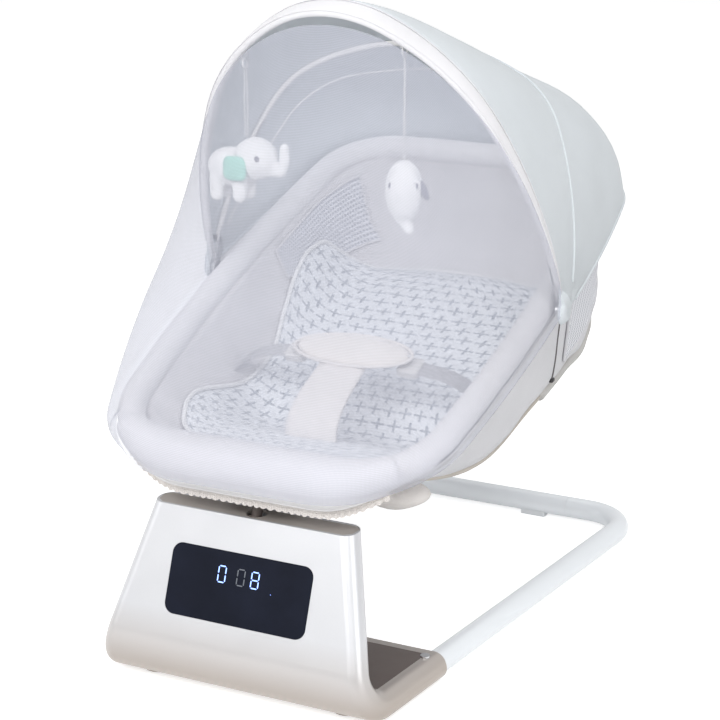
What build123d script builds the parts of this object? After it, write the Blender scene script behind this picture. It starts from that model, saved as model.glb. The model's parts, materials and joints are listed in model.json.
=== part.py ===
from build123d import *
import math
import os

os.makedirs("parts", exist_ok=True)

# Driving sizes in mm and degrees. Here Y runs back from the tower's front and Z up from the floor.
ORIGIN_BACK = 373.29  # from the tower's front line back to the middle of the whole length

# Base tubes
TUBE_R = 14.0
TUBE_WALL = 1.5
TUBE_Z = 17.0
SPLAY = 7.4  # each side tube turns out by this
TUBE_HALF = 174.0  # half spacing of the tubes where they leave the foot
SOCKET_DEEP = 58.0
REAR_Y = 683.0
CORNER_R = 55.0
SEAM_X = 148.0  # the crossbar's seams
PAD_H = 3.0

# Tower
TOP_Z = 202.0
TOP_FRONT_Y = 60.0
LEAN = 20.9
SLAB = 33.0
WALL = 3.0
FOOT_Z = 1.5
FOOT_END = 165.0
BEND_R = 50.0
SIDE_C = 175.5  # half width of the side planes at y = 0, z = 0
FLARE = 0.3045  # the sides close in by this per mm of height
EDGE_R = 15.0
CAVITY_CUT = 7.0  # inside, the long edges are cut flat
COVER_INSET = 15.0
FIT = 0.2

# Display
LENS_W = 174.0
LENS_H = 79.0
LENS_DOWN = 39.0
LENS_R = 12.0
LENS_T = 2.2

# Swing shaft and drive, measured along the leaning axis from the tower's top
SHAFT_R = 6.0
BEARING_R = 12.0
BEARING_H = 6.0
FIT_GAP = 0.05
TURN_GAP = 0.3
UPPER_S = -22.0
LOWER_S = -138.0
LEVER_S = -38.0

# Seat ring: an inclined plane from the foot bar over the shaft up through the canopy pivots
BAR_Y = 51.722
BAR_Z = 262.144
RECLINE = 19.0
RING_FOOT = 362.0  # from the pivots down to the foot bar
RING_HEAD = 328.0
RING_HALF_WIDE = 206.0
FOOT_CORNER_R = 120.0
HEAD_CORNER_R = 82.0
RING_TURN = 84.0
FRAME_R = 10.0
STEP_TURN = 0.22  # radians between the flats of a bent pad or hoop
FRAME_SIDES = 8  # covered tubes are kept to flats
PAD_SIDES = 16
FRAME_WALL = 1.5
SLEEVE_R = 15.5  # the swing head's sleeve round the foot bar
ROLL_R = 17.0
BOLSTER_FROM = -316.0  # the wide foot pad lies across the foot end from here
BOLSTER_R = 30.0
BOLSTER_IN = 12.0
BOLSTER_UP = -12.0

# Bucket: place along the ring, half width at the rim, half width at the bottom, depth
CLOTH = 8.0
STATIONS = [
    (66.0 - RING_FOOT, RING_HALF_WIDE - 30, RING_HALF_WIDE - 68, 48.0),
    (127.0 - RING_FOOT, RING_HALF_WIDE - 12, RING_HALF_WIDE - 46, 88.0),
    (-0.337 * RING_FOOT, RING_HALF_WIDE - 3, RING_HALF_WIDE - 38, 150.0),
    (0.0335 * RING_HEAD, RING_HALF_WIDE, RING_HALF_WIDE - 32, 172.0),
    (0.3963 * RING_HEAD, RING_HALF_WIDE - 4, RING_HALF_WIDE - 30, 190.0),
    (RING_HEAD - 113.0, RING_HALF_WIDE - 8, RING_HALF_WIDE - 34, 205.0),
    (RING_HEAD - 66.0, RING_HALF_WIDE - 16, RING_HALF_WIDE - 44, 188.0),
    (RING_HEAD - 30.0, RING_HALF_WIDE - 40, RING_HALF_WIDE - 68, 110.0),
    (RING_HEAD - 12.0, RING_HALF_WIDE - 58, RING_HALF_WIDE - 90, 50.0),
]
# Mesh window in each side: places along the ring and heights
WINDOW = [(104, -154), (118, -64), (176, -34), (272, -34), (280, -104), (236, -148), (152, -160)]
# Liner: place along the ring, half width at its edge, half width at the bottom, depth of its top face
LINER_T = 12.0
LINER_EDGE = -8.0
LINER_STATIONS = [
    (46.0 - RING_FOOT, RING_HALF_WIDE - 112, RING_HALF_WIDE - 136, 22.0),
    (78.0 - RING_FOOT, RING_HALF_WIDE - 57, RING_HALF_WIDE - 90, 32.0),
    (127.0 - RING_FOOT, RING_HALF_WIDE - 38, RING_HALF_WIDE - 78, 58.0),
    (-0.337 * RING_FOOT, RING_HALF_WIDE - 29, RING_HALF_WIDE - 70, 128.0),
    (-0.215 * RING_FOOT, RING_HALF_WIDE - 28, RING_HALF_WIDE - 67, 116.0),
    (0.0335 * RING_HEAD, RING_HALF_WIDE - 26, RING_HALF_WIDE - 62, 118.0),
    (0.3963 * RING_HEAD, RING_HALF_WIDE - 29, RING_HALF_WIDE - 64, 117.0),
    (RING_HEAD - 113.0, RING_HALF_WIDE - 34, RING_HALF_WIDE - 68, 114.0),
    (RING_HEAD - 66.0, RING_HALF_WIDE - 48, RING_HALF_WIDE - 82, 90.0),
    (RING_HEAD - 25.0, RING_HALF_WIDE - 74, RING_HALF_WIDE - 104, 30.0),
]

# Canopy: each arch is leant forward from upright by its angle
HOOP_R = 2.5
HOOP_SIDES = 8
FRONT_LEAN = 21.0
FRONT_ARCH = (RING_HALF_WIDE + 23, 373.0, 260.0, 25.0, 62.0)  # half width, height, shoulder radius and headings
MID_LEAN = -21.0
MID_ARCH = (RING_HALF_WIDE + 29, 300.0, 120.0, 25.0, 62.0)
CROWN_ARCH = (RING_HALF_WIDE + 30, 322.0, 170.0, 25.0, 62.0)  # the front panel's middle, upright
NAPE_LEAN = -47.0
NAPE_ARCH = (RING_HALF_WIDE + 32, 326.0, 106.0, 13.0, 76.0)
BACK_LEAN = -63.0
BACK_ARCH = (RING_HALF_WIDE + 32, RING_HEAD + 22, 106.0, 9.0, 81.0)
HEAD_LEAN = -74.0
HEAD_ARCH = (RING_HALF_WIDE + 30, RING_HEAD + 31, 106.0, 8.0, 83.0)
PIN_R = 4.0
EYE_R = 9.5
BAND_T = 3.0
BAND_HALF = 2.4  # half the edge band's angle
ARCH_STEPS = (4, 6, 6, 6, 4)  # flats along each arc of a cloth arch
ARCH_CUT = 26.0  # arches start this far from the pivot line
CLOTH_GAP = 1.0  # from a hoop to the cloth round it, taken up by the flats
SKIN = 1.5
NET_T = 0.8
NET_OUT = 8.0  # the net stands off the foot rim by this
HEM_R = 5.5
HEM_IN = -6.0  # the hem runs outside the frame tube by this
HEM_UP = -42.45

# Toys: where each cord leaves the front hoop and how long it is
LEFT_TOY_X = -121.0
LEFT_CORD = 78.0
RIGHT_TOY_X = 84.0
RIGHT_CORD = 112.0
TOY_SIDES = 16
TRUNK_R = 6.5
CORD_R = 1.6
WIRE_R = 1.0
STAPLE_HALF = 4.0
STAPLE_DROP = 13.0  # from the hoop's middle down to the staple's wire
LOOP_R = 6.0
LOOP_DROP = LOOP_R - 2.42 * WIRE_R - TURN_GAP  # the square wire turns inside the loop


def sine(angle):
    return math.sin(math.radians(angle))


def cosine(angle):
    return math.cos(math.radians(angle))


def tangent(angle):
    return math.tan(math.radians(angle))


PIVOT_Y = BAR_Y + RING_FOOT * cosine(RECLINE)
PIVOT_Z = BAR_Z + RING_FOOT * sine(RECLINE)
SLAB_DEEP = SLAB / cosine(LEAN)
AXIS_Y = TOP_FRONT_Y + SLAB_DEEP / 2
TUBE_IN = tangent(SPLAY)

TOWER = Plane(origin=(0, AXIS_Y, TOP_Z), x_dir=(1, 0, 0), z_dir=(0, sine(LEAN), cosine(LEAN)))
FACE = Plane(origin=(0, TOP_FRONT_Y, TOP_Z), x_dir=(1, 0, 0), z_dir=(0, -cosine(LEAN), sine(LEAN)))
RING = Plane(
    origin=(0, PIVOT_Y, PIVOT_Z), x_dir=(1, 0, 0), z_dir=(0, -sine(RECLINE), cosine(RECLINE))
)


def save(name, *shapes):
    solids = []
    for shape in shapes:
        solids.extend(shape.solids())
    whole = solids[0] if len(solids) == 1 else Compound(solids)
    export_step(Pos(0, -ORIGIN_BACK, 0) * whole, f"parts/{name}.step")


def both_sides(shape):
    return [shape, mirror(shape, Plane.YZ)]


def rod(start, end, radius):
    start, end = Vector(*start), Vector(*end)
    along = end - start
    turned = Plane(origin=start, z_dir=along)
    return turned * Pos(0, 0, along.length / 2) * Cylinder(radius, along.length)


def oval(wide, tall, sides):
    # Points round an ellipse.
    turn = 360 / sides
    return [Vector(wide * cosine(i * turn), tall * sine(i * turn)) for i in range(sides)]


def placed(plane, points):
    return [plane.from_local_coords(point) for point in points]


def skin(rings):
    # A solid loft of flats through rings of points, closed by a cap at each end.
    faces = [Face(Wire.make_polygon(rings[0])), Face(Wire.make_polygon(rings[-1]))]
    for near, far in zip(rings, rings[1:]):
        for i in range(len(near)):
            j = i - 1
            # The shorter diagonal is the fold, so both faces of a thin sheet fold alike.
            if (near[j] - far[i]).length < (near[i] - far[j]).length - 0.001:
                halves = ([near[i], near[j], far[i]], [near[j], far[j], far[i]])
            else:
                halves = ([near[i], near[j], far[j]], [near[i], far[j], far[i]])
            faces += [Face(Wire.make_polygon(half)) for half in halves]
    return Part(Solid(Shell(faces)).wrapped)


def runs(points, pieces, loop=False):
    # The same section carried along lines and left-hand arcs as flats, its own x pointing inward.
    rings = []
    for piece in pieces:
        steps = 1 if piece.geom_type == GeomType.LINE else 1 + round(piece.length / piece.radius / STEP_TURN)
        last = steps + 1 if piece is pieces[-1] else steps
        for step in range(last):
            heading = piece % (step / steps)
            inward = Vector(-heading.Y, heading.X, 0)
            rings.append(placed(Plane(origin=piece @ (step / steps), x_dir=inward, z_dir=heading), points))
    if not loop:
        return skin(rings)
    half = len(rings) // 2
    return skin(rings[: half + 1]) + skin(rings[half:])


def bend(section, pieces):
    # A section carried along lines and left-hand arcs drawn in the XY plane, its own x pointing inward.
    whole = None
    for piece in pieces:
        heading = piece % 0
        inward = Vector(-heading.Y, heading.X, 0)
        face = Plane(origin=piece @ 0, x_dir=inward, z_dir=heading) * section
        if piece.geom_type == GeomType.LINE:
            part = extrude(face, piece.length, dir=heading)
        else:
            part = revolve(face, Axis(piece.arc_center, (0, 0, 1)), math.degrees(piece.length / piece.radius))
        whole = part if whole is None else whole + part
    return whole


def pan_screw(length, radius, head_r, head_h):
    # Stands on the plane with its head above and its shank below.
    return Pos(0, 0, head_h / 2) * Cylinder(head_r, head_h) + Pos(0, 0, -length / 2) * Cylinder(radius, length)


# Tower: a slab bent like a J, its sides cut by two leaning planes


def j_profile(inset, top):
    # Side view of the slab, drawn in from the outer faces by the inset.
    thick = SLAB - 2 * inset
    low = FOOT_Z + inset
    high = low + thick
    front_y = TOP_FRONT_Y + inset / cosine(LEAN)
    rear_y = front_y + thick / cosine(LEAN)
    lean = tangent(LEAN)
    front_corner = front_y - (TOP_Z - low) * lean
    rear_corner = rear_y - (TOP_Z - high) * lean
    end = FOOT_END - inset
    outline = Polyline(
        (front_y + (top - TOP_Z) * lean, top),
        (front_corner, low),
        (end, low),
        (end, high),
        (rear_corner, high),
        (rear_y + (top - TOP_Z) * lean, top),
        close=True,
    )
    face = make_face(outline)
    outer = [v for v in face.vertices() if abs(v.X - front_corner) < 0.01 and abs(v.Y - low) < 0.01]
    face = fillet(outer, BEND_R - inset)
    inner = [v for v in face.vertices() if abs(v.X - rear_corner) < 0.01 and abs(v.Y - high) < 0.01]
    return fillet(inner, BEND_R - SLAB + inset)


def beyond_side(inset):
    # Everything outside the right-hand leaning side plane.
    side = Plane(origin=(SIDE_C - inset, 0, 0), z_dir=(1, -TUBE_IN, FLARE))
    return side * Pos(0, 0, 200) * Box(1200, 1200, 400)


def j_body(inset, top, cut, rounded):
    bent = extrude(Plane.YZ * j_profile(inset, top), 280, both=True)
    for outside in both_sides(beyond_side(inset * 1.06)):
        bent -= outside
    long_edges = []
    for side in bent.faces():
        if abs(side.normal_at().X) < 0.7:
            continue
        for line in side.edges():
            box = line.bounding_box()
            at_top = box.min.Z > top - 1
            at_end = box.min.Y > FOOT_END - inset - 1
            if not (at_top or at_end):
                long_edges.append(line)
    return fillet(long_edges, cut) if rounded else chamfer(long_edges, cut)


def cover_layer(grow):
    # The L-shaped skin on the hollow side of the J.
    rear_y = TOP_FRONT_Y + SLAB_DEEP
    high = FOOT_Z + SLAB
    lean = tangent(LEAN)
    corner = rear_y - (TOP_Z - high) * lean
    top = 190.0 + grow
    end = FOOT_END - 10 + grow
    step = WALL / cosine(LEAN)
    inner_corner = rear_y - step - (TOP_Z - high + WALL) * lean
    face = make_face(
        Polyline(
            (rear_y - (TOP_Z - top) * lean, top),
            (corner, high),
            (end, high),
            (end, high - WALL),
            (inner_corner, high - WALL),
            (rear_y - step - (TOP_Z - top) * lean, top),
            close=True,
        )
    )
    outer = [v for v in face.vertices() if abs(v.X - corner) < 0.01 and abs(v.Y - high) < 0.01]
    face = fillet(outer, BEND_R - SLAB)
    inner = [v for v in face.vertices() if abs(v.X - inner_corner) < 0.01 and abs(v.Y - high + WALL) < 0.01]
    face = fillet(inner, BEND_R - SLAB + WALL)
    layer = extrude(Plane.YZ * face, 280, both=True)
    for outside in both_sides(beyond_side(COVER_INSET - grow)):
        layer -= outside
    return layer


def tube_point(y):
    return (TUBE_HALF + (y - FOOT_END) * TUBE_IN, y, TUBE_Z)


tube_start = tube_point(FOOT_END - SOCKET_DEEP)
socket_end = tube_point(FOOT_END + 5)
bore = rod(tube_start, socket_end, TUBE_R + FIT)
socket_mid = tube_point(FOOT_END - SOCKET_DEEP / 2 - 3)
socket_block = Pos(*socket_mid) * Rot(0, 0, -SPLAY) * Box(40, SOCKET_DEEP + 10, 60)

cavity = j_body(WALL, 240, CAVITY_CUT, False)
for block in both_sides(socket_block):
    cavity -= block

screw_y = FOOT_END - 17
screw_x = tube_point(screw_y)[0]
screw_z = FOOT_Z + SLAB
foot_screw = Pos(screw_x, screw_y, screw_z) * pan_screw(26, 2.5, 5.5, 2.2)
foot_hole = Pos(screw_x, screw_y, screw_z - 13) * Cylinder(2.6, 26.4)

front_pad = Cylinder(12, PAD_H, align=(Align.CENTER, Align.CENTER, Align.MIN))
pad_hole = Cylinder(12.1, PAD_H + 0.05, align=(Align.CENTER, Align.CENTER, Align.MIN))
pad_spots = [(-120, 55), (120, 55), (-135, 140), (135, 140)]

# Floor under the rubber pads, so that each pad has plastic behind it.
pad_seats = [Pos(x, y, FOOT_Z) * Cylinder(15, 5, align=(Align.CENTER, Align.CENTER, Align.MIN)) for x, y in pad_spots]

shell = j_body(0, 240, EDGE_R, True) - cavity
for seat in pad_seats:
    shell += seat
shell -= Pos(0, 0, TOP_Z + 100) * Box(800, 800, 200)
shell -= cover_layer(FIT)
for cut in both_sides(bore) + both_sides(foot_hole):
    shell -= cut
for x, y in pad_spots:
    shell -= Pos(x, y, 0) * pad_hole

lens_mid = -LENS_DOWN - LENS_H / 2
pocket = FACE * Pos(0, lens_mid, 0) * extrude(RectangleRounded(LENS_W + 2 * FIT, LENS_H + 2 * FIT, LENS_R + FIT), -LENS_T)
window = FACE * Pos(0, lens_mid, 0) * extrude(RectangleRounded(LENS_W - 8, LENS_H - 8, LENS_R - 4), -SLAB / 4)
shell -= pocket
shell -= window
inlet_z = TUBE_Z - 1
inlet_x = 96.0
shell -= Pos(inlet_x, FOOT_END, inlet_z) * Rot(90, 0, 0) * Cylinder(5.2, 20)
save("tower_shell", shell)

cover = cover_layer(0)
for cut in both_sides(foot_hole):
    cover -= cut
cover_spots = [(-25, UPPER_S), (25, UPPER_S), (-25, LOWER_S), (25, LOWER_S)]
cover_screw = Rot(-90, 0, 0) * pan_screw(14, 1.5, 3.0, 1.6)
cover_hole = Rot(-90, 0, 0) * Pos(0, 0, -7) * Cylinder(1.6, 14.4)
screw_planes = [TOWER * Pos(x, SLAB / 2, s) for x, s in cover_spots]
for spot in screw_planes:
    cover -= spot * cover_hole
save("tower_inner_cover", cover)
save("cover_screws", *[spot * cover_screw for spot in screw_planes])
save("foot_screws", *both_sides(foot_screw))
save("front_foot_pads", *[Pos(x, y, 0) * front_pad for x, y in pad_spots])

lid_gap = WALL + FIT
cap = j_body(lid_gap, 240, CAVITY_CUT, False) & (Pos(0, AXIS_Y, TOP_Z - 1.7) * Box(400, 200, 3))
cap -= TOWER * Cylinder(11.5, 60)
save("tower_top_cap", cap)

lens = extrude(RectangleRounded(LENS_W, LENS_H, LENS_R), LENS_T)
save("display_lens", FACE * Pos(0, lens_mid, -LENS_T) * lens)
board_deep = 6.6
board = Pos(0, 0, -board_deep) * Box(160, 66, 1.6)
digits = Pos(0, 0, -board_deep + 2.2) * Box(70, 24, 2.8)
save("display_board", FACE * Pos(0, lens_mid, 0) * (board + digits))

# Boards and speaker in the foot

floor_z = FOOT_Z + WALL
control = Pos(-30, 95, floor_z + 4.8) * Box(110, 62, 1.6)
control += Pos(-50, 90, floor_z + 8.1) * Box(18, 18, 5)
control += Pos(-5, 105, floor_z + 9.6) * Cylinder(5, 8)
for x in (-78, 18):
    for y in (70, 120):
        control += Pos(x, y, floor_z + 2) * Cylinder(3, 4)
save("control_board", control)
speaker = Pos(70, 95, floor_z + 4) * Cylinder(20, 8) + Pos(70, 95, floor_z + 11) * Cylinder(10, 6)
save("speaker", speaker)
inlet = Pos(inlet_x, FOOT_END - WALL - 6, inlet_z) * Box(14, 12, 12)
inlet += Pos(inlet_x, FOOT_END - WALL / 2, inlet_z) * Rot(90, 0, 0) * Cylinder(5, WALL)
inlet -= Pos(inlet_x, FOOT_END - 4, inlet_z) * Rot(90, 0, 0) * Cylinder(2.8, 12)
save("power_inlet", inlet)

# Bearings, shaft and drive on the leaning axis

inner_half = SLAB / 2 - WALL
carrier_deep = 2 * inner_half - 0.1


def carrier(s):
    block = Pos(0, 0, s) * Box(68, carrier_deep, 15)
    block -= Pos(0, 0, s) * Cylinder(BEARING_R + 0.02, BEARING_H + 0.04)
    block -= Pos(0, 0, s) * Cylinder(9, 30)
    for x in (-25, 25):
        block -= Pos(x, SLAB / 2, s) * cover_hole
    return TOWER * block


def bearing(s):
    return TOWER * Pos(0, 0, s) * (Cylinder(BEARING_R, BEARING_H) - Cylinder(SHAFT_R + TURN_GAP, 30))


save("bearing_carriers", carrier(UPPER_S), carrier(LOWER_S))
save("bearings", bearing(UPPER_S), bearing(LOWER_S))

shaft_low = LOWER_S - 15
shaft_high = 54.0
bolt_s = 34.0
shaft = rod((0, 0, shaft_low), (0, 0, shaft_high), SHAFT_R)
cross_hole = Pos(0, 0, bolt_s) * Rot(90, 0, 0) * Cylinder(3.1, 80)
save("swing_shaft", TOWER * (shaft - cross_hole))
collar = Pos(0, 0, -8) * (Cylinder(10, 10) - Cylinder(SHAFT_R + 0.02, 30))
save("shaft_collar", TOWER * collar)
clip = Pos(0, 0, LOWER_S - 10) * (Cylinder(8.5, 3) - Cylinder(SHAFT_R + 0.02, 30))
save("shaft_clip", TOWER * clip)

lever = Cylinder(10.5, 8) + Pos(22, 0, 0) * Box(46, 8, 8)
lever -= Cylinder(SHAFT_R + 0.02, 30)
save("magnet_lever", TOWER * Pos(0, 0, LEVER_S) * lever)
save("drive_magnet", TOWER * Pos(48.5, 0, LEVER_S) * Box(7, 7, 10))
bobbin = Rot(0, 90, 0) * (Cylinder(4.5, 22) + Pos(0, 0, -10) * Cylinder(7.8, 2) + Pos(0, 0, 10) * Cylinder(7.8, 2))
bobbin += Pos(0, -10.4, 0) * Box(22, 6, 12)
winding = Rot(0, 90, 0) * (Cylinder(7.2, 17.9) - Cylinder(4.52, 30))
bobbin -= Rot(0, 90, 0) * Cylinder(7.25, 17.95) - Rot(0, 90, 0) * Cylinder(4.5, 40)
coil_place = TOWER * Pos(67, 0, LEVER_S)
save("coil_bobbin", coil_place * bobbin)
save("coil_winding", coil_place * winding)
save("sensor_board", TOWER * Pos(-50, -inner_half + 0.9, LEVER_S) * Box(24, 1.6, 12))

# Base tubes

tube_corner = tube_point(REAR_Y)
side_path = FilletPolyline(tube_start[:2], tube_corner[:2], (SEAM_X, REAR_Y), radius=CORNER_R)
tube_ring = Circle(TUBE_R) - Circle(TUBE_R - TUBE_WALL)
side_tube = Pos(0, 0, TUBE_Z) * bend(tube_ring, side_path.edges())
side_tube -= foot_hole
left_tube = mirror(side_tube, Plane.YZ)
save("base_tube_right", side_tube)
save("base_tube_left", left_tube)
bar_mid = Pos(0, REAR_Y, TUBE_Z) * Rot(0, 90, 0)
bar_long = 2 * SEAM_X - 0.6
save("rear_crossbar", bar_mid * (Cylinder(TUBE_R, bar_long) - Cylinder(TUBE_R - TUBE_WALL, 400)))
joiner = Pos(SEAM_X, REAR_Y, TUBE_Z) * Rot(0, 90, 0) * Cylinder(TUBE_R - TUBE_WALL - 0.05, 50)
save("tube_joiners", *both_sides(joiner))
saddle = Pos(100, REAR_Y, 0) * Box(34, 20, 9, align=(Align.CENTER, Align.CENTER, Align.MIN))
saddle -= bar_mid * Cylinder(TUBE_R + 0.02, 600)
save("rear_foot_pads", *both_sides(saddle))

# Swing head: a block on the shaft with a cross sleeve for the seat frame

frame_bar = RING.from_local_coords(Vector(0, -RING_FOOT, 0))
bar_local = TOWER.to_local_coords(frame_bar)
sleeve_half = 60.0
sleeve = rod((-sleeve_half, bar_local.Y, bar_local.Z), (sleeve_half, bar_local.Y, bar_local.Z), SLEEVE_R)
head = Pos(0, 4, 36) * Box(84, 27, 48)
head = fillet(head.edges().filter_by(Axis.Z), 10)
head += Pos(0, bar_local.Y / 2, bar_local.Z - 7) * Box(76, abs(bar_local.Y), 22)
head += sleeve
head -= rod((-80, bar_local.Y, bar_local.Z), (80, bar_local.Y, bar_local.Z), FRAME_R + 0.05)
head -= rod((0, 0, 0), (0, 0, shaft_high + 0.05), SHAFT_R + 0.02)
head -= cross_hole
head = TOWER * head
bolt_x = 50.0
frame_bolt = RING * Pos(bolt_x, -RING_FOOT, -SLEEVE_R) * Rot(180, 0, 0) * pan_screw(25, 2.5, 5, 2.5)
frame_hole = RING * Pos(bolt_x, -RING_FOOT, -4) * Cylinder(2.6, 30)
for cut in both_sides(frame_hole):
    head -= cut
save("swing_head", head)
head_bolt = TOWER * Pos(0, 17.5, bolt_s) * Rot(-90, 0, 0) * pan_screw(25, 3, 5.5, 3)
save("head_bolt", head_bolt)
save("frame_bolts", *both_sides(frame_bolt))

# Seat frame, rim roll and foot bolster, all along one outline


def ring_lines(foot_x):
    # The outline from the foot bar, round the head end and back, in the ring's own plane.
    turn = math.radians(RING_TURN)
    bow_angle = 180 - 2 * RING_TURN
    foot_rise = FOOT_CORNER_R * (1 - math.cos(turn))
    head_rise = HEAD_CORNER_R * (1 - math.cos(turn))
    side_long = RING_FOOT - foot_rise + RING_HEAD - head_rise
    bow_r = side_long / 2 / math.sin(math.radians(bow_angle / 2))
    bow = bow_r * (1 - math.cos(math.radians(bow_angle / 2)))
    foot_straight = RING_HALF_WIDE - bow - FOOT_CORNER_R * math.sin(turn)
    head_straight = RING_HALF_WIDE - bow - HEAD_CORNER_R * math.sin(turn)
    first = Line((foot_x, -RING_FOOT), (foot_straight, -RING_FOOT))
    low_right = JernArc(first @ 1, (1, 0), FOOT_CORNER_R, RING_TURN)
    right = JernArc(low_right @ 1, low_right % 1, bow_r, bow_angle)
    high_right = JernArc(right @ 1, right % 1, HEAD_CORNER_R, RING_TURN)
    top = Line(high_right @ 1, (-head_straight, RING_HEAD))
    high_left = JernArc(top @ 1, (-1, 0), HEAD_CORNER_R, RING_TURN)
    left = JernArc(high_left @ 1, high_left % 1, bow_r, bow_angle)
    low_left = JernArc(left @ 1, left % 1, FOOT_CORNER_R, RING_TURN)
    last = Line(low_left @ 1, (-foot_x, -RING_FOOT))
    lines = [first, low_right, right, high_right, top, high_left, left, low_left, last]
    return [line.edge() for line in lines]


frame_lines = ring_lines(8.0)
frame = runs(oval(FRAME_R, FRAME_R, FRAME_SIDES), frame_lines)
frame_in = FRAME_R - FRAME_WALL
frame -= runs(oval(frame_in, frame_in, FRAME_SIDES), frame_lines)
pin_hole = Pos(RING_HALF_WIDE, 0, 0) * Rot(0, 90, 0) * Cylinder(PIN_R + 0.05, 60)
frame = RING * (frame - pin_hole - mirror(pin_hole, Plane.YZ))
for cut in both_sides(frame_hole):
    frame -= cut
save("seat_frame", frame)

ring_loop = ring_lines(0.0)
bore_r = FRAME_R + FIT_GAP
frame_bore = runs(oval(bore_r, bore_r, FRAME_SIDES), ring_loop, True)
roll = runs(oval(ROLL_R, ROLL_R, PAD_SIDES), ring_loop, True) - frame_bore
roll &= Pos(0, BOLSTER_FROM + 400, 0) * Box(800, 800, 100)
roll = RING * (roll - pin_hole - mirror(pin_hole, Plane.YZ))
save("rim_roll", roll)

foot_half = Pos(0, BOLSTER_FROM - 400, 0) * Box(800, 799.8, 200)


def bolster_round(grow):
    size = BOLSTER_R + grow
    section = [spot + Vector(BOLSTER_IN, BOLSTER_UP) for spot in oval(size, size, PAD_SIDES)]
    return RING * (runs(section, ring_loop, True) & foot_half)


frame_room = RING * frame_bore
bolster = bolster_round(0) - frame_room
head_room = TOWER * (Pos(0, 4, 36) * Box(86, 29, 56))
head_room += TOWER * Pos(0, bar_local.Y / 2, bar_local.Z - 7) * Box(78, abs(bar_local.Y) + 1, 24)
head_room += TOWER * rod((-61, bar_local.Y, bar_local.Z), (61, bar_local.Y, bar_local.Z), SLEEVE_R + 0.3)
for room in both_sides(RING * Pos(bolt_x, -RING_FOOT, -20) * Cylinder(6, 20)):
    head_room += room
bolster -= head_room
save("foot_bolster", bolster)

# Bucket, mesh windows and liner


def between(stations, place):
    # Half widths and depth at a place along the ring.
    for near, far in zip(stations, stations[1:]):
        if near[0] <= place <= far[0]:
            part = (place - near[0]) / (far[0] - near[0])
            return [a + (b - a) * part for a, b in zip(near[1:], far[1:])]
    raise ValueError(place)


def ring_section(place):
    return Plane(RING * Plane(origin=(0, place, 0), x_dir=(1, 0, 0), z_dir=(0, -1, 0)))


def soft_corner(before, corner, after, reach):
    # A rounded corner in three flats.
    start = corner + (before - corner).normalized() * reach
    end = corner + (after - corner).normalized() * reach
    return [start * (1 - t) ** 2 + corner * (2 * t * (1 - t)) + end * t**2 for t in (0, 0.33, 0.67, 1)]


def tub(stations, grow, edge, corner, places):
    rings = []
    for place in places:
        wide, low, deep = [size + grow for size in between(stations, place)]
        reach = min(0.6 * corner, 0.45 * (deep + edge))
        top_left, top_right = Vector(-wide, edge), Vector(wide, edge)
        low_right, low_left = Vector(low, -deep), Vector(-low, -deep)
        ring = [top_left, top_right]
        ring += soft_corner(top_right, low_right, low_left, reach)
        ring += soft_corner(low_right, low_left, top_left, reach)
        rings.append(placed(ring_section(place), ring))
    return skin(rings)


def station_places(stations, inset):
    places = [row[0] for row in stations]
    return [places[0] + inset] + places[1:-1] + [places[-1] - inset]


liner_places = station_places(LINER_STATIONS, 0)
liner_round = tub(LINER_STATIONS, LINER_T, LINER_EDGE, 60.0, liner_places)
liner_hollow = tub(LINER_STATIONS, 0, LINER_EDGE, 52.0, station_places(LINER_STATIONS, 8))
roll_round = runs(oval(ROLL_R + TURN_GAP, ROLL_R + TURN_GAP, PAD_SIDES), ring_loop, True)
liner = liner_round - liner_hollow - bolster_round(TURN_GAP) - head_room - RING * roll_round
save("seat_liner", liner)

edge = -ROLL_R
bucket = tub(STATIONS, 0, edge, 32.0, station_places(STATIONS, 0))
bucket -= tub(STATIONS, -CLOTH, edge, 32.0, station_places(STATIONS, CLOTH))
bucket = bucket - liner_round - bolster_round(TURN_GAP) - RING * roll_round
window_lines = make_face(Polyline(*WINDOW, close=True))
window_tool = RING * Plane(origin=(0, 0, 0), x_dir=(0, 1, 0), z_dir=(1, 0, 0)) * window_lines
window_right = extrude(window_tool, 300)
mesh_right = bucket & window_right
mesh_left = mirror(mesh_right, Plane.YZ)
bucket = bucket - window_right - mirror(window_right, Plane.YZ)
save("seat_bucket", bucket)
save("mesh_windows", mesh_right, mesh_left)

# Harness, held up by its own padding


def ribbon(upper, lower, half, middle):
    # A band between two lines seen from the side, spread across X.
    over = FilletPolyline(*upper, radius=20)
    under = FilletPolyline(*lower, radius=14)
    rim = [over, under, Line(upper[0], lower[0]), Line(upper[-1], lower[-1])]
    plane = RING * Plane(origin=(middle - half, 0, 0), x_dir=(0, 1, 0), z_dir=(1, 0, 0))
    return extrude(plane * make_face(rim), 2 * half)


strap_top = [(-224, -74), (-212, -48), (-180, -34), (-120, -29)]
strap_low = [(-214, -76), (-204, -53), (-176, -41), (-120, -36.5)]
crotch = ribbon(strap_top, strap_low, 34, 0) - liner
save("crotch_strap", crotch)
pad = extrude(make_face(Polyline(*oval(76, 36, 32), close=True)), 14)
for end in (0, -1):
    pad = chamfer(pad.faces().sort_by(Axis.Z)[end].edges(), 4)
pad = RING * Pos(0, -92, -37) * Rot(-6, 0, 0) * pad
pad = pad - crotch
save("belly_pad", pad)


def waist_strap():
    outer = [(88, -41), (118, -46), (142, -58), (164, -78)]
    inner = [(88, -43), (117, -48), (141, -59.8), (162.6, -79.6)]
    over = FilletPolyline(*outer, radius=40)
    under = FilletPolyline(*inner, radius=38)
    rim = [over, under, Line(outer[0], inner[0]), Line(outer[-1], inner[-1])]
    return extrude(ring_section(-80) * make_face(rim), 25)


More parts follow.
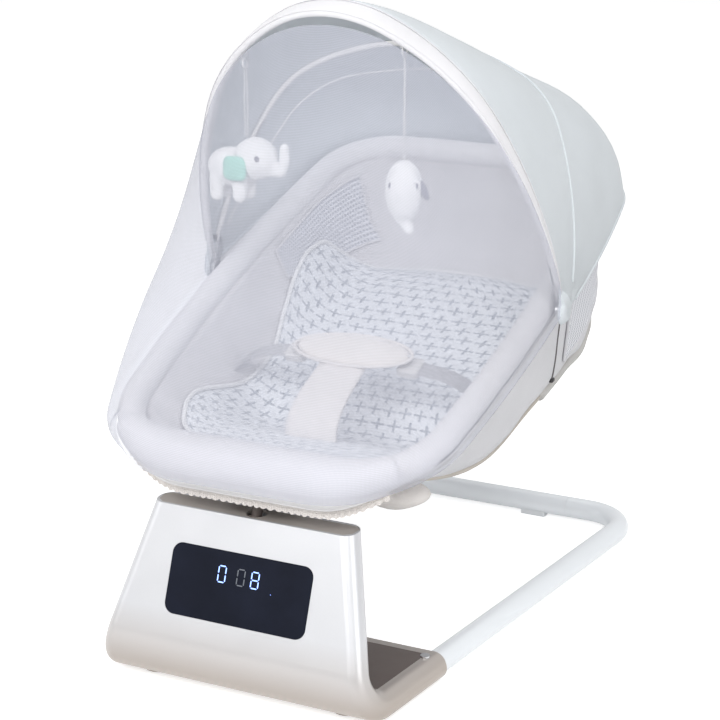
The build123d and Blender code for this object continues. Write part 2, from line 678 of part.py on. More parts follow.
save("waist_straps", *[strap - liner for strap in both_sides(waist_strap())])
buckle = Box(27.8, 30, 9)
buckle = chamfer(fillet(buckle.edges().filter_by(Axis.Z), 6).faces().sort_by(Axis.Z)[-1].edges(), 1.5)
buckle = RING * Pos(74, -92.5, -42.2) * buckle
buckle -= pad
save("harness_buckles", *both_sides(buckle))

# Canopy hoops, pivots, edge band and panels


def arch_plane(lean):
    return Plane(
        origin=(0, PIVOT_Y, PIVOT_Z), x_dir=(1, 0, 0), z_dir=(0, -cosine(lean), -sine(lean))
    )


def arch_arcs(shape, grow, low):
    # Half width, height, shoulder radius, and the headings where the shoulder starts and ends.
    wide, tall, shoulder, start, end = shape
    c1, s1, c2, s2 = cosine(start), sine(start), cosine(end), sine(end)
    rest_x = wide - shoulder * (c1 - c2)
    rest_y = tall - shoulder * (s2 - s1)
    side = (rest_y * c2 - rest_x * (1 - s2)) / (s1 * c2 - (1 - c1) * (1 - s2))
    crown = (rest_x - side * (1 - c1)) / c2
    side, shoulder, crown = side + grow, shoulder + grow, crown + grow
    first = math.degrees(math.asin(low / side))
    foot = (wide + grow - side * (1 - cosine(first)), low)
    right = JernArc(foot, (-sine(first), cosine(first)), side, start - first)
    right_turn = JernArc(right @ 1, right % 1, shoulder, end - start)
    top = JernArc(right_turn @ 1, right_turn % 1, crown, 180 - 2 * end)
    left_turn = JernArc(top @ 1, top % 1, shoulder, end - start)
    left = JernArc(left_turn @ 1, left_turn % 1, side, start - first)
    return [line.edge() for line in (right, right_turn, top, left_turn, left)]


def arch_points(shape, grow, low):
    # Steps along the arch, close enough together for cloth.
    arcs = arch_arcs(shape, grow, low)
    points = [arcs[0] @ 0]
    for arc, steps in zip(arcs, ARCH_STEPS):
        points += [arc @ ((step + 1) / steps) for step in range(steps)]
    return points


def arch_strip(lean, shape, grow, thick, low=ARCH_CUT):
    # The outline of a thin arch, its inner edge outside the given shape by grow.
    inner = arch_points(shape, grow, low)
    outer = arch_points(shape, grow + thick, low)
    return placed(arch_plane(lean), inner + outer[::-1])


def hoop(lean, shape):
    bent = arch_plane(lean) * runs(oval(HOOP_R, HOOP_R, HOOP_SIDES), arch_arcs(shape, 0, 6.0))
    spot = Pos(shape[0], PIVOT_Y, PIVOT_Z) * Rot(0, 90, 0)
    for end in both_sides(spot * Cylinder(EYE_R, 2 * HOOP_R + 0.4)):
        bent += end
    for cut in both_sides(spot * Cylinder(PIN_R + TURN_GAP, 40)):
        bent -= cut
    return bent


front_hoop = hoop(FRONT_LEAN, FRONT_ARCH)
mid_hoop = hoop(MID_LEAN, MID_ARCH)
save("front_hoop", front_hoop)
save("mid_hoop", mid_hoop)

pin_end = MID_ARCH[0] + HOOP_R + 0.8
pin = rod((RING_HALF_WIDE - 5, PIVOT_Y, PIVOT_Z), (pin_end, PIVOT_Y, PIVOT_Z), PIN_R)
button = rod((pin_end, PIVOT_Y, PIVOT_Z), (pin_end + 4, PIVOT_Y, PIVOT_Z), 11)
button = chamfer(button.edges().sort_by(Axis.X)[-1], 1.5)
pivot = pin + button
save("pivot_pins", *both_sides(pivot))


over_hoop = HOOP_R + CLOTH_GAP
band_leans = (FRONT_LEAN + BAND_HALF, FRONT_LEAN, FRONT_LEAN - BAND_HALF)
band = skin([arch_strip(lean, FRONT_ARCH, over_hoop, BAND_T, 32.0) for lean in band_leans])
save("canopy_edge_band", band)

over_rod = HOOP_R + CLOTH_GAP
front_panel = skin(
    [
        arch_strip(FRONT_LEAN - BAND_HALF - 0.1, FRONT_ARCH, over_rod, SKIN),
        arch_strip(0, CROWN_ARCH, 0, SKIN),
        arch_strip(MID_LEAN + 0.05, MID_ARCH, over_rod, SKIN),
    ]
)
save("canopy_front_panel", front_panel)
rear_panel = skin(
    [
        arch_strip(MID_LEAN - 0.05, MID_ARCH, over_rod, SKIN),
        arch_strip(NAPE_LEAN, NAPE_ARCH, 0, SKIN),
        arch_strip(BACK_LEAN, BACK_ARCH, 0, SKIN),
        arch_strip(HEAD_LEAN, HEAD_ARCH, 0, SKIN),
    ]
)
save("canopy_rear_panel", rear_panel)


foot_lean = 90 + RECLINE


def net_reach(lean):
    # How far a straight net between hoop and foot rim is from the pivot line.
    near, far = FRONT_ARCH[1], RING_FOOT + ROLL_R + NET_OUT
    a = (near * sine(FRONT_LEAN), near * cosine(FRONT_LEAN))
    b = (far * sine(foot_lean), far * cosine(foot_lean))
    across_line = (b[1] - a[1], a[0] - b[0])
    reach = a[0] * across_line[0] + a[1] * across_line[1]
    return reach / (sine(lean) * across_line[0] + cosine(lean) * across_line[1])


net_wide = FRONT_ARCH[0] + over_hoop + BAND_T
net_rows = [
    (FRONT_LEAN + BAND_HALF + 0.1, 250.0, 25.0, 62.0),
    (46.0, 215.0, 20.0, 67.0),
    (68.0, 180.0, 15.0, 72.0),
    (90.0, 150.0, 9.0, 80.0),
    (foot_lean, 140.0, 6.0, 85.0),
]
net_strips = []
for lean, shoulder, start, end in net_rows:
    net_strips.append(arch_strip(lean, (net_wide, net_reach(lean), shoulder, start, end), 0, NET_T))
tuck = (net_wide, RING_FOOT + ROLL_R + 1, 140.0, 6.0, 85.0)
net_strips.append(arch_strip(foot_lean + 5.8, tuck, 0, NET_T))
net = skin(net_strips)
save("insect_net", net)

hem_section = [spot + Vector(HEM_IN, HEM_UP) for spot in oval(HEM_R, HEM_R, FRAME_SIDES)]
hem = runs(hem_section, ring_loop, True) & foot_half
hem = RING * hem
save("net_hem", hem)

# Toys on their cords


def hoop_reach(x):
    # Height of the front hoop's middle over its shoulders, in its own plane.
    arcs = arch_arcs(FRONT_ARCH, 0, 6.0)
    shoulder = arcs[1] if x > 0 else arcs[3]
    middle = shoulder.arc_center
    return middle.Y + math.sqrt(shoulder.radius**2 - (x - middle.X) ** 2)


def turned(places):
    # A plump body along X through places and thicknesses.
    rings = []
    for place, thick in places:
        rings.append([Vector(place, spot.X, spot.Y) for spot in oval(thick / 2, thick / 2, TOY_SIDES)])
    return skin(rings)


def egg(long, thick):
    turns = (9, 32, 60, 90, 120, 148, 171)
    return turned([(-long / 2 * cosine(turn), thick * sine(turn)) for turn in turns])


def stump(long, start, end):
    # A short limb with softened ends.
    return turned([(0, 1.4 * start), (0.3 * start, 2 * start), (long - 0.3 * end, 2 * end), (long, 1.4 * end)])


def toy_staple(place):
    # A flat wire staple under the front hoop, open to the sides.
    left, right = -STAPLE_HALF, STAPLE_HALF
    left_top = hoop_reach(place.X + left) - place.Y
    right_top = hoop_reach(place.X + right) - place.Y
    wire = FilletPolyline((left, left_top), (left, 0), (right, 0), (right, right_top), radius=1.5)
    bent = bend(Rectangle(2 * WIRE_R, 2 * WIRE_R), wire.edges())
    return arch_plane(FRONT_LEAN) * Pos(place.X, place.Y, 0) * bent - front_hoop


def toy_loop(spot):
    ring = Rot(0, 90, 0) * revolve(Plane.XZ * Pos(LOOP_R, 0) * Rectangle(2 * WIRE_R, 2 * WIRE_R), Axis.Z)
    return Pos(spot.X, spot.Y, spot.Z - LOOP_DROP) * ring


staples = []
for side, x, long in (("left", LEFT_TOY_X, LEFT_CORD), ("right", RIGHT_TOY_X, RIGHT_CORD)):
    place = Vector(x, hoop_reach(x) - STAPLE_DROP, 0)
    spot = arch_plane(FRONT_LEAN).from_local_coords(place)
    staples.append(toy_staple(place))
    save(f"toy_loop_{side}", toy_loop(spot))
    top = spot.Z - LOOP_DROP - LOOP_R - WIRE_R - 0.5
    cord = Pos(spot.X, spot.Y, top - long / 2) * Cylinder(CORD_R, long)
    save(f"toy_cord_{side}", cord)
    low = top - long
    if side == "left":
        here = Pos(spot.X, spot.Y, low)
        torso = here * Pos(-22, 0, -37) * egg(58, 44)
        skull = here * Pos(12, 0, -22.4) * egg(54, 49)
        trunk_path = FilletPolyline((28, -38), (49, -38), (49, -8), radius=13)
        trunk = here * Rot(90, 0, 0) * runs(oval(TRUNK_R, TRUNK_R, TOY_SIDES), trunk_path.edges())
        leg = Pos(0, 0, -16) * Rot(0, -90, 0) * stump(31, 9.5, 8.0)
        legs = []
        for dx in (-34, -4):
            for dy in (-11, 11):
                legs.append(here * Pos(dx, dy, -62) * leg)
        flap = here * Pos(-4, 24.6, -34) * Rot(90, 0, 0) * extrude(RectangleRounded(27, 26, 9), 4)
        ears = [flap, here * Pos(-4, -20.6, -34) * Rot(90, 0, 0) * extrude(RectangleRounded(27, 26, 9), 4)]
        skull -= cord
        skull -= torso
        trunk -= skull
        for part in (torso, skull):
            ears = [flap - part for flap in ears]
            legs = [leg - part for leg in legs]
        save("elephant_torso", torso)
        save("elephant_head", skull)
        save("elephant_trunk", trunk)
        save("elephant_ears", *ears)
        save("elephant_legs", *legs)
    else:
        here = Pos(spot.X, spot.Y, low)
        body = here * Pos(0, 0, -36) * Rot(0, 90, 0) * egg(74, 43)
        body -= cord
        tail = here * Pos(0, 0, -60) * Rot(0, 76, 0) * stump(30, 4.5, 7.0)
        tail -= body
        fin = here * Pos(24, 2, -34) * Rot(0, 114, 0) * egg(26, 9)
        fin -= body
        save("whale_body", body)
        save("whale_tail", tail)
        save("whale_fin", fin)
save("toy_staples", *staples)
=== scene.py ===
import json
import math

import bmesh
import bpy
import numpy as np
from mathutils import Matrix, Vector


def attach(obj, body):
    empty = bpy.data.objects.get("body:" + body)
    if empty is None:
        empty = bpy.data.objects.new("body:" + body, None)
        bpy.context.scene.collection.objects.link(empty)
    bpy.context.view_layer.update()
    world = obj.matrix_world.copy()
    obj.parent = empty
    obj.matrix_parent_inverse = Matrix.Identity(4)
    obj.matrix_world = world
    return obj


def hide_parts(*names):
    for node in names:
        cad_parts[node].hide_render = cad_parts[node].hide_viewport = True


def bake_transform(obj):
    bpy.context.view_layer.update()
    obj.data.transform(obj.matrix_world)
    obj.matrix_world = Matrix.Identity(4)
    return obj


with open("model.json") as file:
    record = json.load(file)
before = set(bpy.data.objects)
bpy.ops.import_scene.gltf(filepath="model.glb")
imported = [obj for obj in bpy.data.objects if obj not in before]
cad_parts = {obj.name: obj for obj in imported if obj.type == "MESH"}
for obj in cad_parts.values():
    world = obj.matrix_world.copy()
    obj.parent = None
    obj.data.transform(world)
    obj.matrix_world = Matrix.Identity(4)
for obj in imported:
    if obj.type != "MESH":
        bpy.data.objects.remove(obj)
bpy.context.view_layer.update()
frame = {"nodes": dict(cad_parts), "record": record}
NODES = frame["nodes"]
SIDES = ("right", "left")

# Sizes in metres, repeated from the part's source
ORIGIN_BACK = 0.37329
RECLINE = math.radians(19.0)
PIVOT_Y = 0.394 - ORIGIN_BACK
PIVOT_Z = 0.380
LEAN = math.radians(20.9)
TOP_Y = 0.060 - ORIGIN_BACK
TOP_Z = 0.202
RING_FOOT = 0.362
RING_HEAD = 0.328
RING_HALF = 0.206
FOOT_CORNER = 0.120
HEAD_CORNER = 0.082
RING_TURN = math.radians(84.0)
ROLL_R = 0.017
BOLSTER_R = 0.030
BOLSTER_IN = 0.012
BOLSTER_UP = -0.012
BOLSTER_FROM = -0.316
FRONT_LEAN = 21.0
MID_LEAN = -21.0
HEM_LEAN = -74.0
BAND_HALF = 2.4
HOOP_R = 0.0025
OVER_HOOP = 0.0035
MID_SHARE = 0.7  # how far the middle hoop follows the front one

# Half width, height, shoulder radius and the headings where the shoulder starts and ends
FRONT_ARCH = (0.229, 0.373, 0.260, 25.0, 62.0)
MID_ARCH = (0.235, 0.300, 0.120, 25.0, 62.0)
CROWN_ARCH = (0.236, 0.322, 0.170, 25.0, 62.0)
NAPE_ARCH = (0.238, 0.326, 0.106, 13.0, 76.0)
BACK_ARCH = (0.238, 0.350, 0.106, 9.0, 81.0)
HEAD_ARCH = (0.236, 0.359, 0.106, 8.0, 83.0)

# Seat tub and its lining: place along the ring, half width at the rim, half width at the bottom, depth
BUCKET = [
    (-0.296, 0.176, 0.138, 0.048),
    (-0.235, 0.194, 0.160, 0.088),
    (-0.122, 0.203, 0.168, 0.150),
    (0.011, 0.206, 0.174, 0.172),
    (0.130, 0.202, 0.176, 0.190),
    (0.215, 0.198, 0.172, 0.205),
    (0.262, 0.190, 0.162, 0.188),
    (0.298, 0.166, 0.138, 0.110),
    (0.316, 0.148, 0.116, 0.050),
]
LINER = [
    (-0.316, 0.094, 0.070, 0.022),
    (-0.284, 0.149, 0.116, 0.032),
    (-0.235, 0.168, 0.128, 0.058),
    (-0.122, 0.177, 0.136, 0.128),
    (-0.078, 0.178, 0.139, 0.116),
    (0.011, 0.180, 0.144, 0.118),
    (0.130, 0.177, 0.142, 0.117),
    (0.215, 0.172, 0.138, 0.114),
    (0.262, 0.158, 0.124, 0.090),
    (0.303, 0.132, 0.102, 0.030),
]

LEFT_TOY = (-0.121, 0.28574 - ORIGIN_BACK, 0.65125)
LEFT_CORD = 0.078
RIGHT_TOY = (0.084, 0.275123 - ORIGIN_BACK, 0.6789)
RIGHT_CORD = 0.112

# Steps that curves are drawn in
ARC_STEPS = 40
SHOULDER_STEPS = 24
CORNER_STEPS = 14


# Places


def ring_point(x, along, up):
    # A point given in the seat ring's own plane.
    y = PIVOT_Y + along * math.cos(RECLINE) - up * math.sin(RECLINE)
    z = PIVOT_Z + along * math.sin(RECLINE) + up * math.cos(RECLINE)
    return np.stack(np.broadcast_arrays(x, y, z), -1)


def ring_coords(points):
    y, z = points[..., 1] - PIVOT_Y, points[..., 2] - PIVOT_Z
    along = y * math.cos(RECLINE) + z * math.sin(RECLINE)
    return points[..., 0], along, z * math.cos(RECLINE) - y * math.sin(RECLINE)


def arch_point(x, height, lean):
    # A point on an arch leant forward from upright about the canopy's pivots.
    lean = np.radians(lean)
    y = PIVOT_Y - height * np.sin(lean)
    z = PIVOT_Z + height * np.cos(lean)
    return np.stack(np.broadcast_arrays(x, y, z), -1)


def face_point(across, up, out):
    # A point on the tower's leaning front face.
    y = TOP_Y + up * math.sin(LEAN) - out * math.cos(LEAN)
    z = TOP_Z + up * math.cos(LEAN) + out * math.sin(LEAN)
    return (across, y, z)


def mirrored(points):
    return points * np.array([-1.0, 1.0, 1.0])


def sided(side, rows):
    # Rows for the right or the left side, both facing outward.
    return rows[:, ::-1] if side == "right" else mirrored(rows)


def there_and_back(right):
    # A flat line on the right, and the same line mirrored to the left.
    return np.concatenate([right, right[::-1] * np.array([-1, 1])])


def smooth(t):
    t = np.clip(t, 0, 1)
    return t * t * (3 - 2 * t)


def rounded(angle, power):
    # Cosine and sine of an angle, squared off by a power below one.
    return [np.sign(part) * np.abs(part) ** power for part in (np.cos(angle), np.sin(angle))]


def full_turn(count):
    return np.linspace(0, 2 * np.pi, count, endpoint=False)


def unit(vectors):
    return vectors / np.linalg.norm(vectors, axis=-1, keepdims=True)


def run_along(points):
    # How far along its line each point lies.
    steps = np.linalg.norm(np.diff(points, axis=0), axis=1)
    return np.concatenate([[0], np.cumsum(steps)])


def curve_through(keys, at):
    # A smooth line through rows of numbers, the first of each row being its place.
    keys = np.array(sorted(keys), float)
    places, values = keys[:, 0], keys[:, 1:]
    slopes = np.gradient(values, places, axis=0)
    at = np.clip(np.asarray(at, float), places[0], places[-1])
    cell = np.clip(np.searchsorted(places, at) - 1, 0, len(places) - 2)
    width = places[cell + 1] - places[cell]
    t = ((at - places[cell]) / width)[..., None]
    width = width[..., None]
    near, far = values[cell], values[cell + 1]
    near_slope, far_slope = slopes[cell] * width, slopes[cell + 1] * width
    return (
        near * (1 + 2 * t) * (1 - t) ** 2
        + near_slope * t * (1 - t) ** 2
        + far * t * t * (3 - 2 * t)
        - far_slope * t * t * (1 - t)
    )


def even(points, count):
    # The same line with its points evenly spaced.
    points = np.asarray(points, float)
    run = run_along(points)
    at = np.linspace(0, run[-1], count)
    return np.stack([np.interp(at, run, points[:, k]) for k in range(points.shape[1])], -1)


def arch_line(shape, grow, low, count):
    # Half width and height along an arch of five arcs, from the right foot to the left.
    wide, tall, shoulder, start, end = shape
    start, end = math.radians(start), math.radians(end)
    c1, s1, c2, s2 = math.cos(start), math.sin(start), math.cos(end), math.sin(end)
    rest_x = wide - shoulder * (c1 - c2)
    rest_y = tall - shoulder * (s2 - s1)
    side = (rest_y * c2 - rest_x * (1 - s2)) / (s1 * c2 - (1 - c1) * (1 - s2))
    crown = (rest_x - side * (1 - c1)) / c2
    side_mid = np.array([wide - side, 0.0])
    turn_mid = side_mid + (side - shoulder) * np.array([c1, s1])
    crown_mid = turn_mid + (shoulder - crown) * np.array([c2, s2])
    first = math.asin(low / (side + grow))
    arcs = (
        (side_mid, side, first, start),
        (turn_mid, shoulder, start, end),
        (crown_mid, crown, end, math.pi / 2),
    )
    right = []
    for middle, radius, near, far in arcs:
        turn = np.linspace(near, far, SHOULDER_STEPS)
        right.append(middle + (radius + grow) * np.stack([np.cos(turn), np.sin(turn)], -1))
    return even(there_and_back(np.concatenate(right)), count)


def ring_outline(count):
    # The seat ring's outline from the foot's middle, with the direction inward at each point.
    bow_angle = math.pi - 2 * RING_TURN
    foot_rise = FOOT_CORNER * (1 - math.cos(RING_TURN))
    head_rise = HEAD_CORNER * (1 - math.cos(RING_TURN))
    bow_r = (RING_FOOT - foot_rise + RING_HEAD - head_rise) / 2 / math.sin(bow_angle / 2)
    bow = bow_r * (1 - math.cos(bow_angle / 2))
    pieces = [
        (RING_HALF - bow - FOOT_CORNER * math.sin(RING_TURN), 0.0),
        (FOOT_CORNER * RING_TURN, RING_TURN),
        (bow_r * bow_angle, bow_angle),
        (HEAD_CORNER * RING_TURN, RING_TURN),
        (RING_HALF - bow - HEAD_CORNER * math.sin(RING_TURN), 0.0),
    ]
    place, heading = np.array([0.0, -RING_FOOT]), 0.0
    points = [place]
    for length, turn in pieces:
        for step in range(ARC_STEPS):
            middle = heading + turn / 2 / ARC_STEPS
            place = place + length / ARC_STEPS * np.array([math.cos(middle), math.sin(middle)])
            heading += turn / ARC_STEPS
            points.append(place)
    right = np.array(points)
    around = np.concatenate([right, (right * np.array([-1, 1]))[-2::-1]])
    around = even(around, count + 1)[:-1]
    ahead = unit(np.roll(around, -1, 0) - np.roll(around, 1, 0))
    return around, np.stack([-ahead[:, 1], ahead[:, 0]], -1)


# Meshes


def smooth_faces(mesh, on=True):
    for polygon in mesh.polygons:
        polygon.use_smooth = on


def add_object(name, data):
    piece = bpy.data.objects.new(name, data)
    bpy.context.scene.collection.objects.link(piece)
    return piece


def add_mesh(name, mesh, smooth_shaded=True):
    smooth_faces(mesh, smooth_shaded)
    return add_object(name, mesh)


def mesh_of(name, build):
    mesh = bpy.data.meshes.new(name)
    build.to_mesh(mesh)
    build.free()
    return mesh


def sheet_mesh(name, rows, around=False, closed=False):
    # A grid through rows of points, with its UV map in metres along the cloth.
    rows = np.asarray(rows, float)
    count, width = rows.shape[:2]
    across = np.linalg.norm(np.diff(rows, axis=1), axis=2).mean(0)
    across = np.concatenate([[0], np.cumsum(across), [0]])
    across[width] = across[width - 1] + across[1]
    down = np.linalg.norm(np.diff(rows, axis=0), axis=2).mean(1)
    down = np.concatenate([[0], np.cumsum(down), [0]])
    down[count] = down[count - 1] + down[1]
    faces = []
    spots = []
    for i in range(count if closed else count - 1):
        for j in range(width if around else width - 1):
            k, l = (i + 1) % count, (j + 1) % width
            faces.append((i * width + j, i * width + l, k * width + l, k * width + j))
            near, far, top, low = across[j], across[j + 1], down[i], down[i + 1]
            spots += [near, top, far, top, far, low, near, low]
    mesh = bpy.data.meshes.new(name)
    mesh.from_pydata(rows.reshape(-1, 3).tolist(), [], faces)
    layer = mesh.uv_layers.new(name="cloth")
    layer.data.foreach_set("uv", np.array(spots, np.float32))
    return mesh


def cloth_piece(name, rows):
    return add_mesh(name, sheet_mesh(name, rows))


def cap_ends(mesh, count, sides):
    build = bmesh.new()
    build.from_mesh(mesh)
    build.verts.ensure_lookup_table()
    build.faces.new([build.verts[j] for j in range(sides)][::-1])
    build.faces.new([build.verts[(count - 1) * sides + j] for j in range(sides)])
    build.to_mesh(mesh)
    build.free()


def closed_piece(name, rows):
    # A skin round rings of points, shut at both ends.
    mesh = sheet_mesh(name, rows, around=True)
    cap_ends(mesh, *rows.shape[:2])
    return add_mesh(name, mesh)


def normals_of(rows):
    normal = np.cross(np.gradient(rows, axis=0), np.gradient(rows, axis=1))
    length = np.linalg.norm(normal, axis=2)[..., None]
    return normal / np.maximum(length, 1e-9)


def shell(name, outer, inner):
    # Two grids of the same size joined round their edge, the second taking the second material.
    count, width = outer.shape[:2]
    mesh = sheet_mesh(name, outer)
    build = bmesh.new()
    build.from_mesh(mesh)
    layer = build.loops.layers.uv.verify()
    build.verts.ensure_lookup_table()
    under = [build.verts.new(point) for point in inner.reshape(-1, 3)]
    over = list(build.verts)[: count * width]
    twin = dict(zip(over, under))
    for face in list(build.faces):
        low = build.faces.new([twin[v] for v in reversed(face.verts)])
        low.material_index = 1
        for loop, other in zip(low.loops, reversed(list(face.loops))):
            loop[layer].uv = other[layer].uv
    rim = [e for e in build.edges if len(e.link_faces) == 1 and e.verts[0] in twin and e.verts[1] in twin]
    for edge in rim:
        loop = edge.link_loops[0]
        a, b = loop.vert, loop.link_loop_next.vert
        side = build.faces.new([b, a, twin[a], twin[b]])
        for corner, spot in zip(side.loops, (b, a, a, b)):
            corner[layer].uv = loop[layer].uv if spot is a else loop.link_loop_next[layer].uv
    build.to_mesh(mesh)
    build.free()
    return add_mesh(name, mesh)


def tube(name, path, radius, sides=8, closed=False, side_to=(0.0, 0.0, 1.0)):
    # A round bead along points; side_to gives the direction of its first side.
    if closed:
        ahead = np.roll(path, -1, 0) - np.roll(path, 1, 0)
    else:
        ahead = np.gradient(path, axis=0)
    ahead = unit(ahead)
    hint = np.array(side_to, float)
    first = hint - ahead * (ahead * hint).sum(-1, keepdims=True)
    first /= np.maximum(np.linalg.norm(first, axis=1)[:, None], 1e-9)
    second = np.cross(ahead, first)
    turn = full_turn(sides)[None, :, None]
    rows = path[:, None] + radius * (np.cos(turn) * first[:, None] + np.sin(turn) * second[:, None])
    mesh = sheet_mesh(name, rows, around=True, closed=closed)
    if not closed:
        cap_ends(mesh, len(path), sides)
    return add_mesh(name, mesh)


def ripple(points, size, seed):
    # A smooth, repeatable unevenness in -1..1 over space.
    draw = np.random.default_rng(seed)
    total = np.zeros(points.shape[:-1])
    for wave in range(5):
        direction = draw.normal(size=3)
        direction /= np.linalg.norm(direction)
        pitch = size * draw.uniform(0.7, 1.6)
        total += np.sin(points @ direction * 2 * np.pi / pitch + draw.uniform(0, 6.28))
    return total / 3.2


def uneven(rows, amount, size, seed, axes=1):
    # Rows swollen and drawn in a little about their middle.
    middle = rows.mean(axes, keepdims=True)
    return middle + (rows - middle) * (1 + amount * ripple(rows, size, seed))[..., None]


def rumpled(rows, depth, size, seed):
    return rows + normals_of(rows) * (depth * ripple(rows, size, seed))[..., None]


def dress(piece, *looks):
    piece.data.materials.clear()
    for look in looks:
        piece.data.materials.append(look)
    return piece


def finished(piece, look, body):
    # Dresses a piece and ties it to the body that it moves with.
    looks = look if isinstance(look, tuple) else (look,)
    dress(piece, *looks)
    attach(piece, body)
    return piece


def on_seat(piece, look):
    return finished(piece, look, "seat")


# Stuffing


def points_of(mesh):
    return np.array([v.co for v in mesh.vertices], float)


def evaluated(piece):
    return piece.evaluated_get(bpy.context.evaluated_depsgraph_get())


def bake_modifiers(piece):
    piece.data = bpy.data.meshes.new_from_object(evaluated(piece))
    piece.modifiers.clear()


def add_remesh(piece, voxel):
    remesh = piece.modifiers.new("remesh", "REMESH")
    remesh.mode = "VOXEL"
    remesh.voxel_size = voxel


def blow_up(piece, pressure, frames, cap, sewn=()):
    # Swells a closed pad by simulation, held where it is sewn, and keeps the result in its mesh.
    before = points_of(piece.data)
    cloth = piece.modifiers.new("stuffing", "CLOTH")
    cloth.settings.use_pressure = True
    cloth.settings.uniform_pressure_force = pressure
    cloth.settings.effector_weights.gravity = 0.0
    if sewn:
        group = piece.vertex_groups.new(name="sewn")
        group.add(sewn, 1.0, "REPLACE")
        cloth.settings.vertex_group_mass = "sewn"
    cloth.point_cache.frame_end = frames
    scene = bpy.context.scene
    for step in range(1, frames + 1):
        scene.frame_set(step)
    moved = points_of(evaluated(piece).to_mesh()) - before
    evaluated(piece).to_mesh_clear()
    piece.modifiers.clear()
    piece.vertex_groups.clear()
    scene.frame_set(1)
    size = np.linalg.norm(moved, axis=1)[:, None]
    moved *= np.minimum(1.0, cap / np.maximum(size, 1e-9))
    piece.data.vertices.foreach_set("co", (before + moved).ravel())
    piece.data.update()


def stuffed_tube(name, rows, seams, pressure, frames, cap):
    # A long pad sewn along its seams and at both ends.
    piece = closed_piece(name, rows)
    count, sides = rows.shape[:2]
    sewn = [i * sides + j for i in range(count) for j in seams]
    sewn += list(range(sides)) + list(range((count - 1) * sides, count * sides))
    blow_up(piece, pressure, frames, cap, sewn)
    return piece


# Looks


class Wiring:
    # Nodes added to a tree step by step.
    def __init__(self, tree):
        self.tree = tree

    def node(self, kind, **values):
        made = self.tree.nodes.new(kind)
        for key, value in values.items():
            if key in made.inputs:
                made.inputs[key].default_value = value
            else:
                setattr(made, key, value)
        return made

    def link(self, out, into):
        self.tree.links.new(out, into)

    def feed(self, value, into):
        # Sets an input to a number or a colour, or links it to another node.
        if isinstance(value, tuple):
            into.default_value = (*value, 1.0)
        elif isinstance(value, (int, float)):
            into.default_value = value
        else:
            self.link(value, into)

    def math(self, kind, first, second=None):
        made = self.node("ShaderNodeMath", operation=kind)
        self.feed(first, made.inputs[0])
        if second is not None:
            self.feed(second, made.inputs[1])
        return made.outputs[0]

    def spread(self, fac, low, high, start=0.3, end=0.7):
        sizes = {"From Min": start, "From Max": end, "To Min": low, "To Max": high}
        made = self.node("ShaderNodeMapRange", **sizes)
        self.link(fac, made.inputs["Value"])
        return made.outputs["Result"]


class Look(Wiring):
    # A material built up round one shader.
    def __init__(self, name):
        self.material = bpy.data.materials.new(name)
        self.material.use_nodes = True
        super().__init__(self.material.node_tree)
        self.shader = self.tree.nodes["Principled BSDF"]
        self.place = None
        self.height = None

    def put(self, **values):
        for key, value in values.items():
            self.shader.inputs[key.replace("_", " ")].default_value = value

    def coords(self, kind="Object"):
        if self.place is None:
            self.place = self.node("ShaderNodeTexCoord")
        return self.place.outputs[kind]

    def noise(self, scale, detail=4.0, rough=0.55):
        made = self.node("ShaderNodeTexNoise", Scale=scale, Detail=detail, Roughness=rough)
        self.link(self.coords(), made.inputs["Vector"])
        return made.outputs["Fac"]

    def mix(self, fac, first, second):
        made = self.node("ShaderNodeMix", data_type="RGBA")
        self.feed(first, made.inputs[6])
        self.feed(second, made.inputs[7])
        self.link(fac, made.inputs[0])
        return made.outputs[2]

    def clouded(self, color, vary, scale=9.0, detail=5.0):
        # A colour that drifts a little darker and lighter.
        cloud = self.spread(self.noise(scale, detail), 0.0, 1.0)
        return self.mix(cloud, shade(color, 1 - vary), shade(color, 1 + vary))

    def parts(self, kind):
        split = self.node("ShaderNodeSeparateXYZ")
        self.link(self.coords(kind), split.inputs[0])
        return split.outputs

    def uv(self, pitch):
        # The cloth's own map, counted in steps of the pitch.
        split = self.parts("UV")
        return self.math("DIVIDE", split[0], pitch), self.math("DIVIDE", split[1], pitch)

    def cells(self, pitch):
        # Place within each cell of a pattern, -0.5 to 0.5, every other row shifted by half a cell.
        across, down = self.uv(pitch)
        shift = self.math("MULTIPLY", self.math("MODULO", self.math("FLOOR", down), 2.0), 0.5)
        across = self.math("ADD", across, shift)
        return [self.math("SUBTRACT", self.math("FRACT", part), 0.5) for part in (across, down)]

    def squares(self, first, second):
        return self.math("ADD", self.math("MULTIPLY", first, first), self.math("MULTIPLY", second, second))

    def weave(self, pitch):
        # Threads over and under each other.
        waves = [self.math("SINE", self.math("MULTIPLY", part, math.pi)) for part in self.uv(pitch)]
        return self.squares(*waves)

    def bump(self, height, depth, strength=1.0):
        made = self.node("ShaderNodeBump", Strength=strength, Distance=depth)
        self.link(height, made.inputs["Height"])
        if self.height is not None:
            self.link(self.height, made.inputs["Normal"])
        self.height = made.outputs["Normal"]
        self.link(self.height, self.shader.inputs["Normal"])

    def color(self, out):
        self.link(out, self.shader.inputs["Base Color"])

    def rough(self, scale, detail, middle, by):
        # Gloss that varies a little from place to place.
        out = self.spread(self.noise(scale, detail), middle - by, middle + by)
        self.link(out, self.shader.inputs["Roughness"])


def shade(color, by):
    return tuple(min(1.0, c * by) for c in color)


def hard_look(
    name, color, rough, metal=0.0, coat=0.0, grain=900.0, depth=0.00004, vary=0.04, wear=0.05, gloss=0.5
):
    # Moulded or painted surface: slight cloudiness, fine grain and uneven gloss.
    look = Look(name)
    look.color(look.clouded(color, vary, scale=14.0))
    look.rough(scale=35.0, detail=6.0, middle=rough, by=wear)
    look.bump(look.noise(grain, detail=2.0), depth, strength=0.5)
    look.put(Metallic=metal, Coat_Weight=coat, Specular_IOR_Level=gloss)
    return look.material


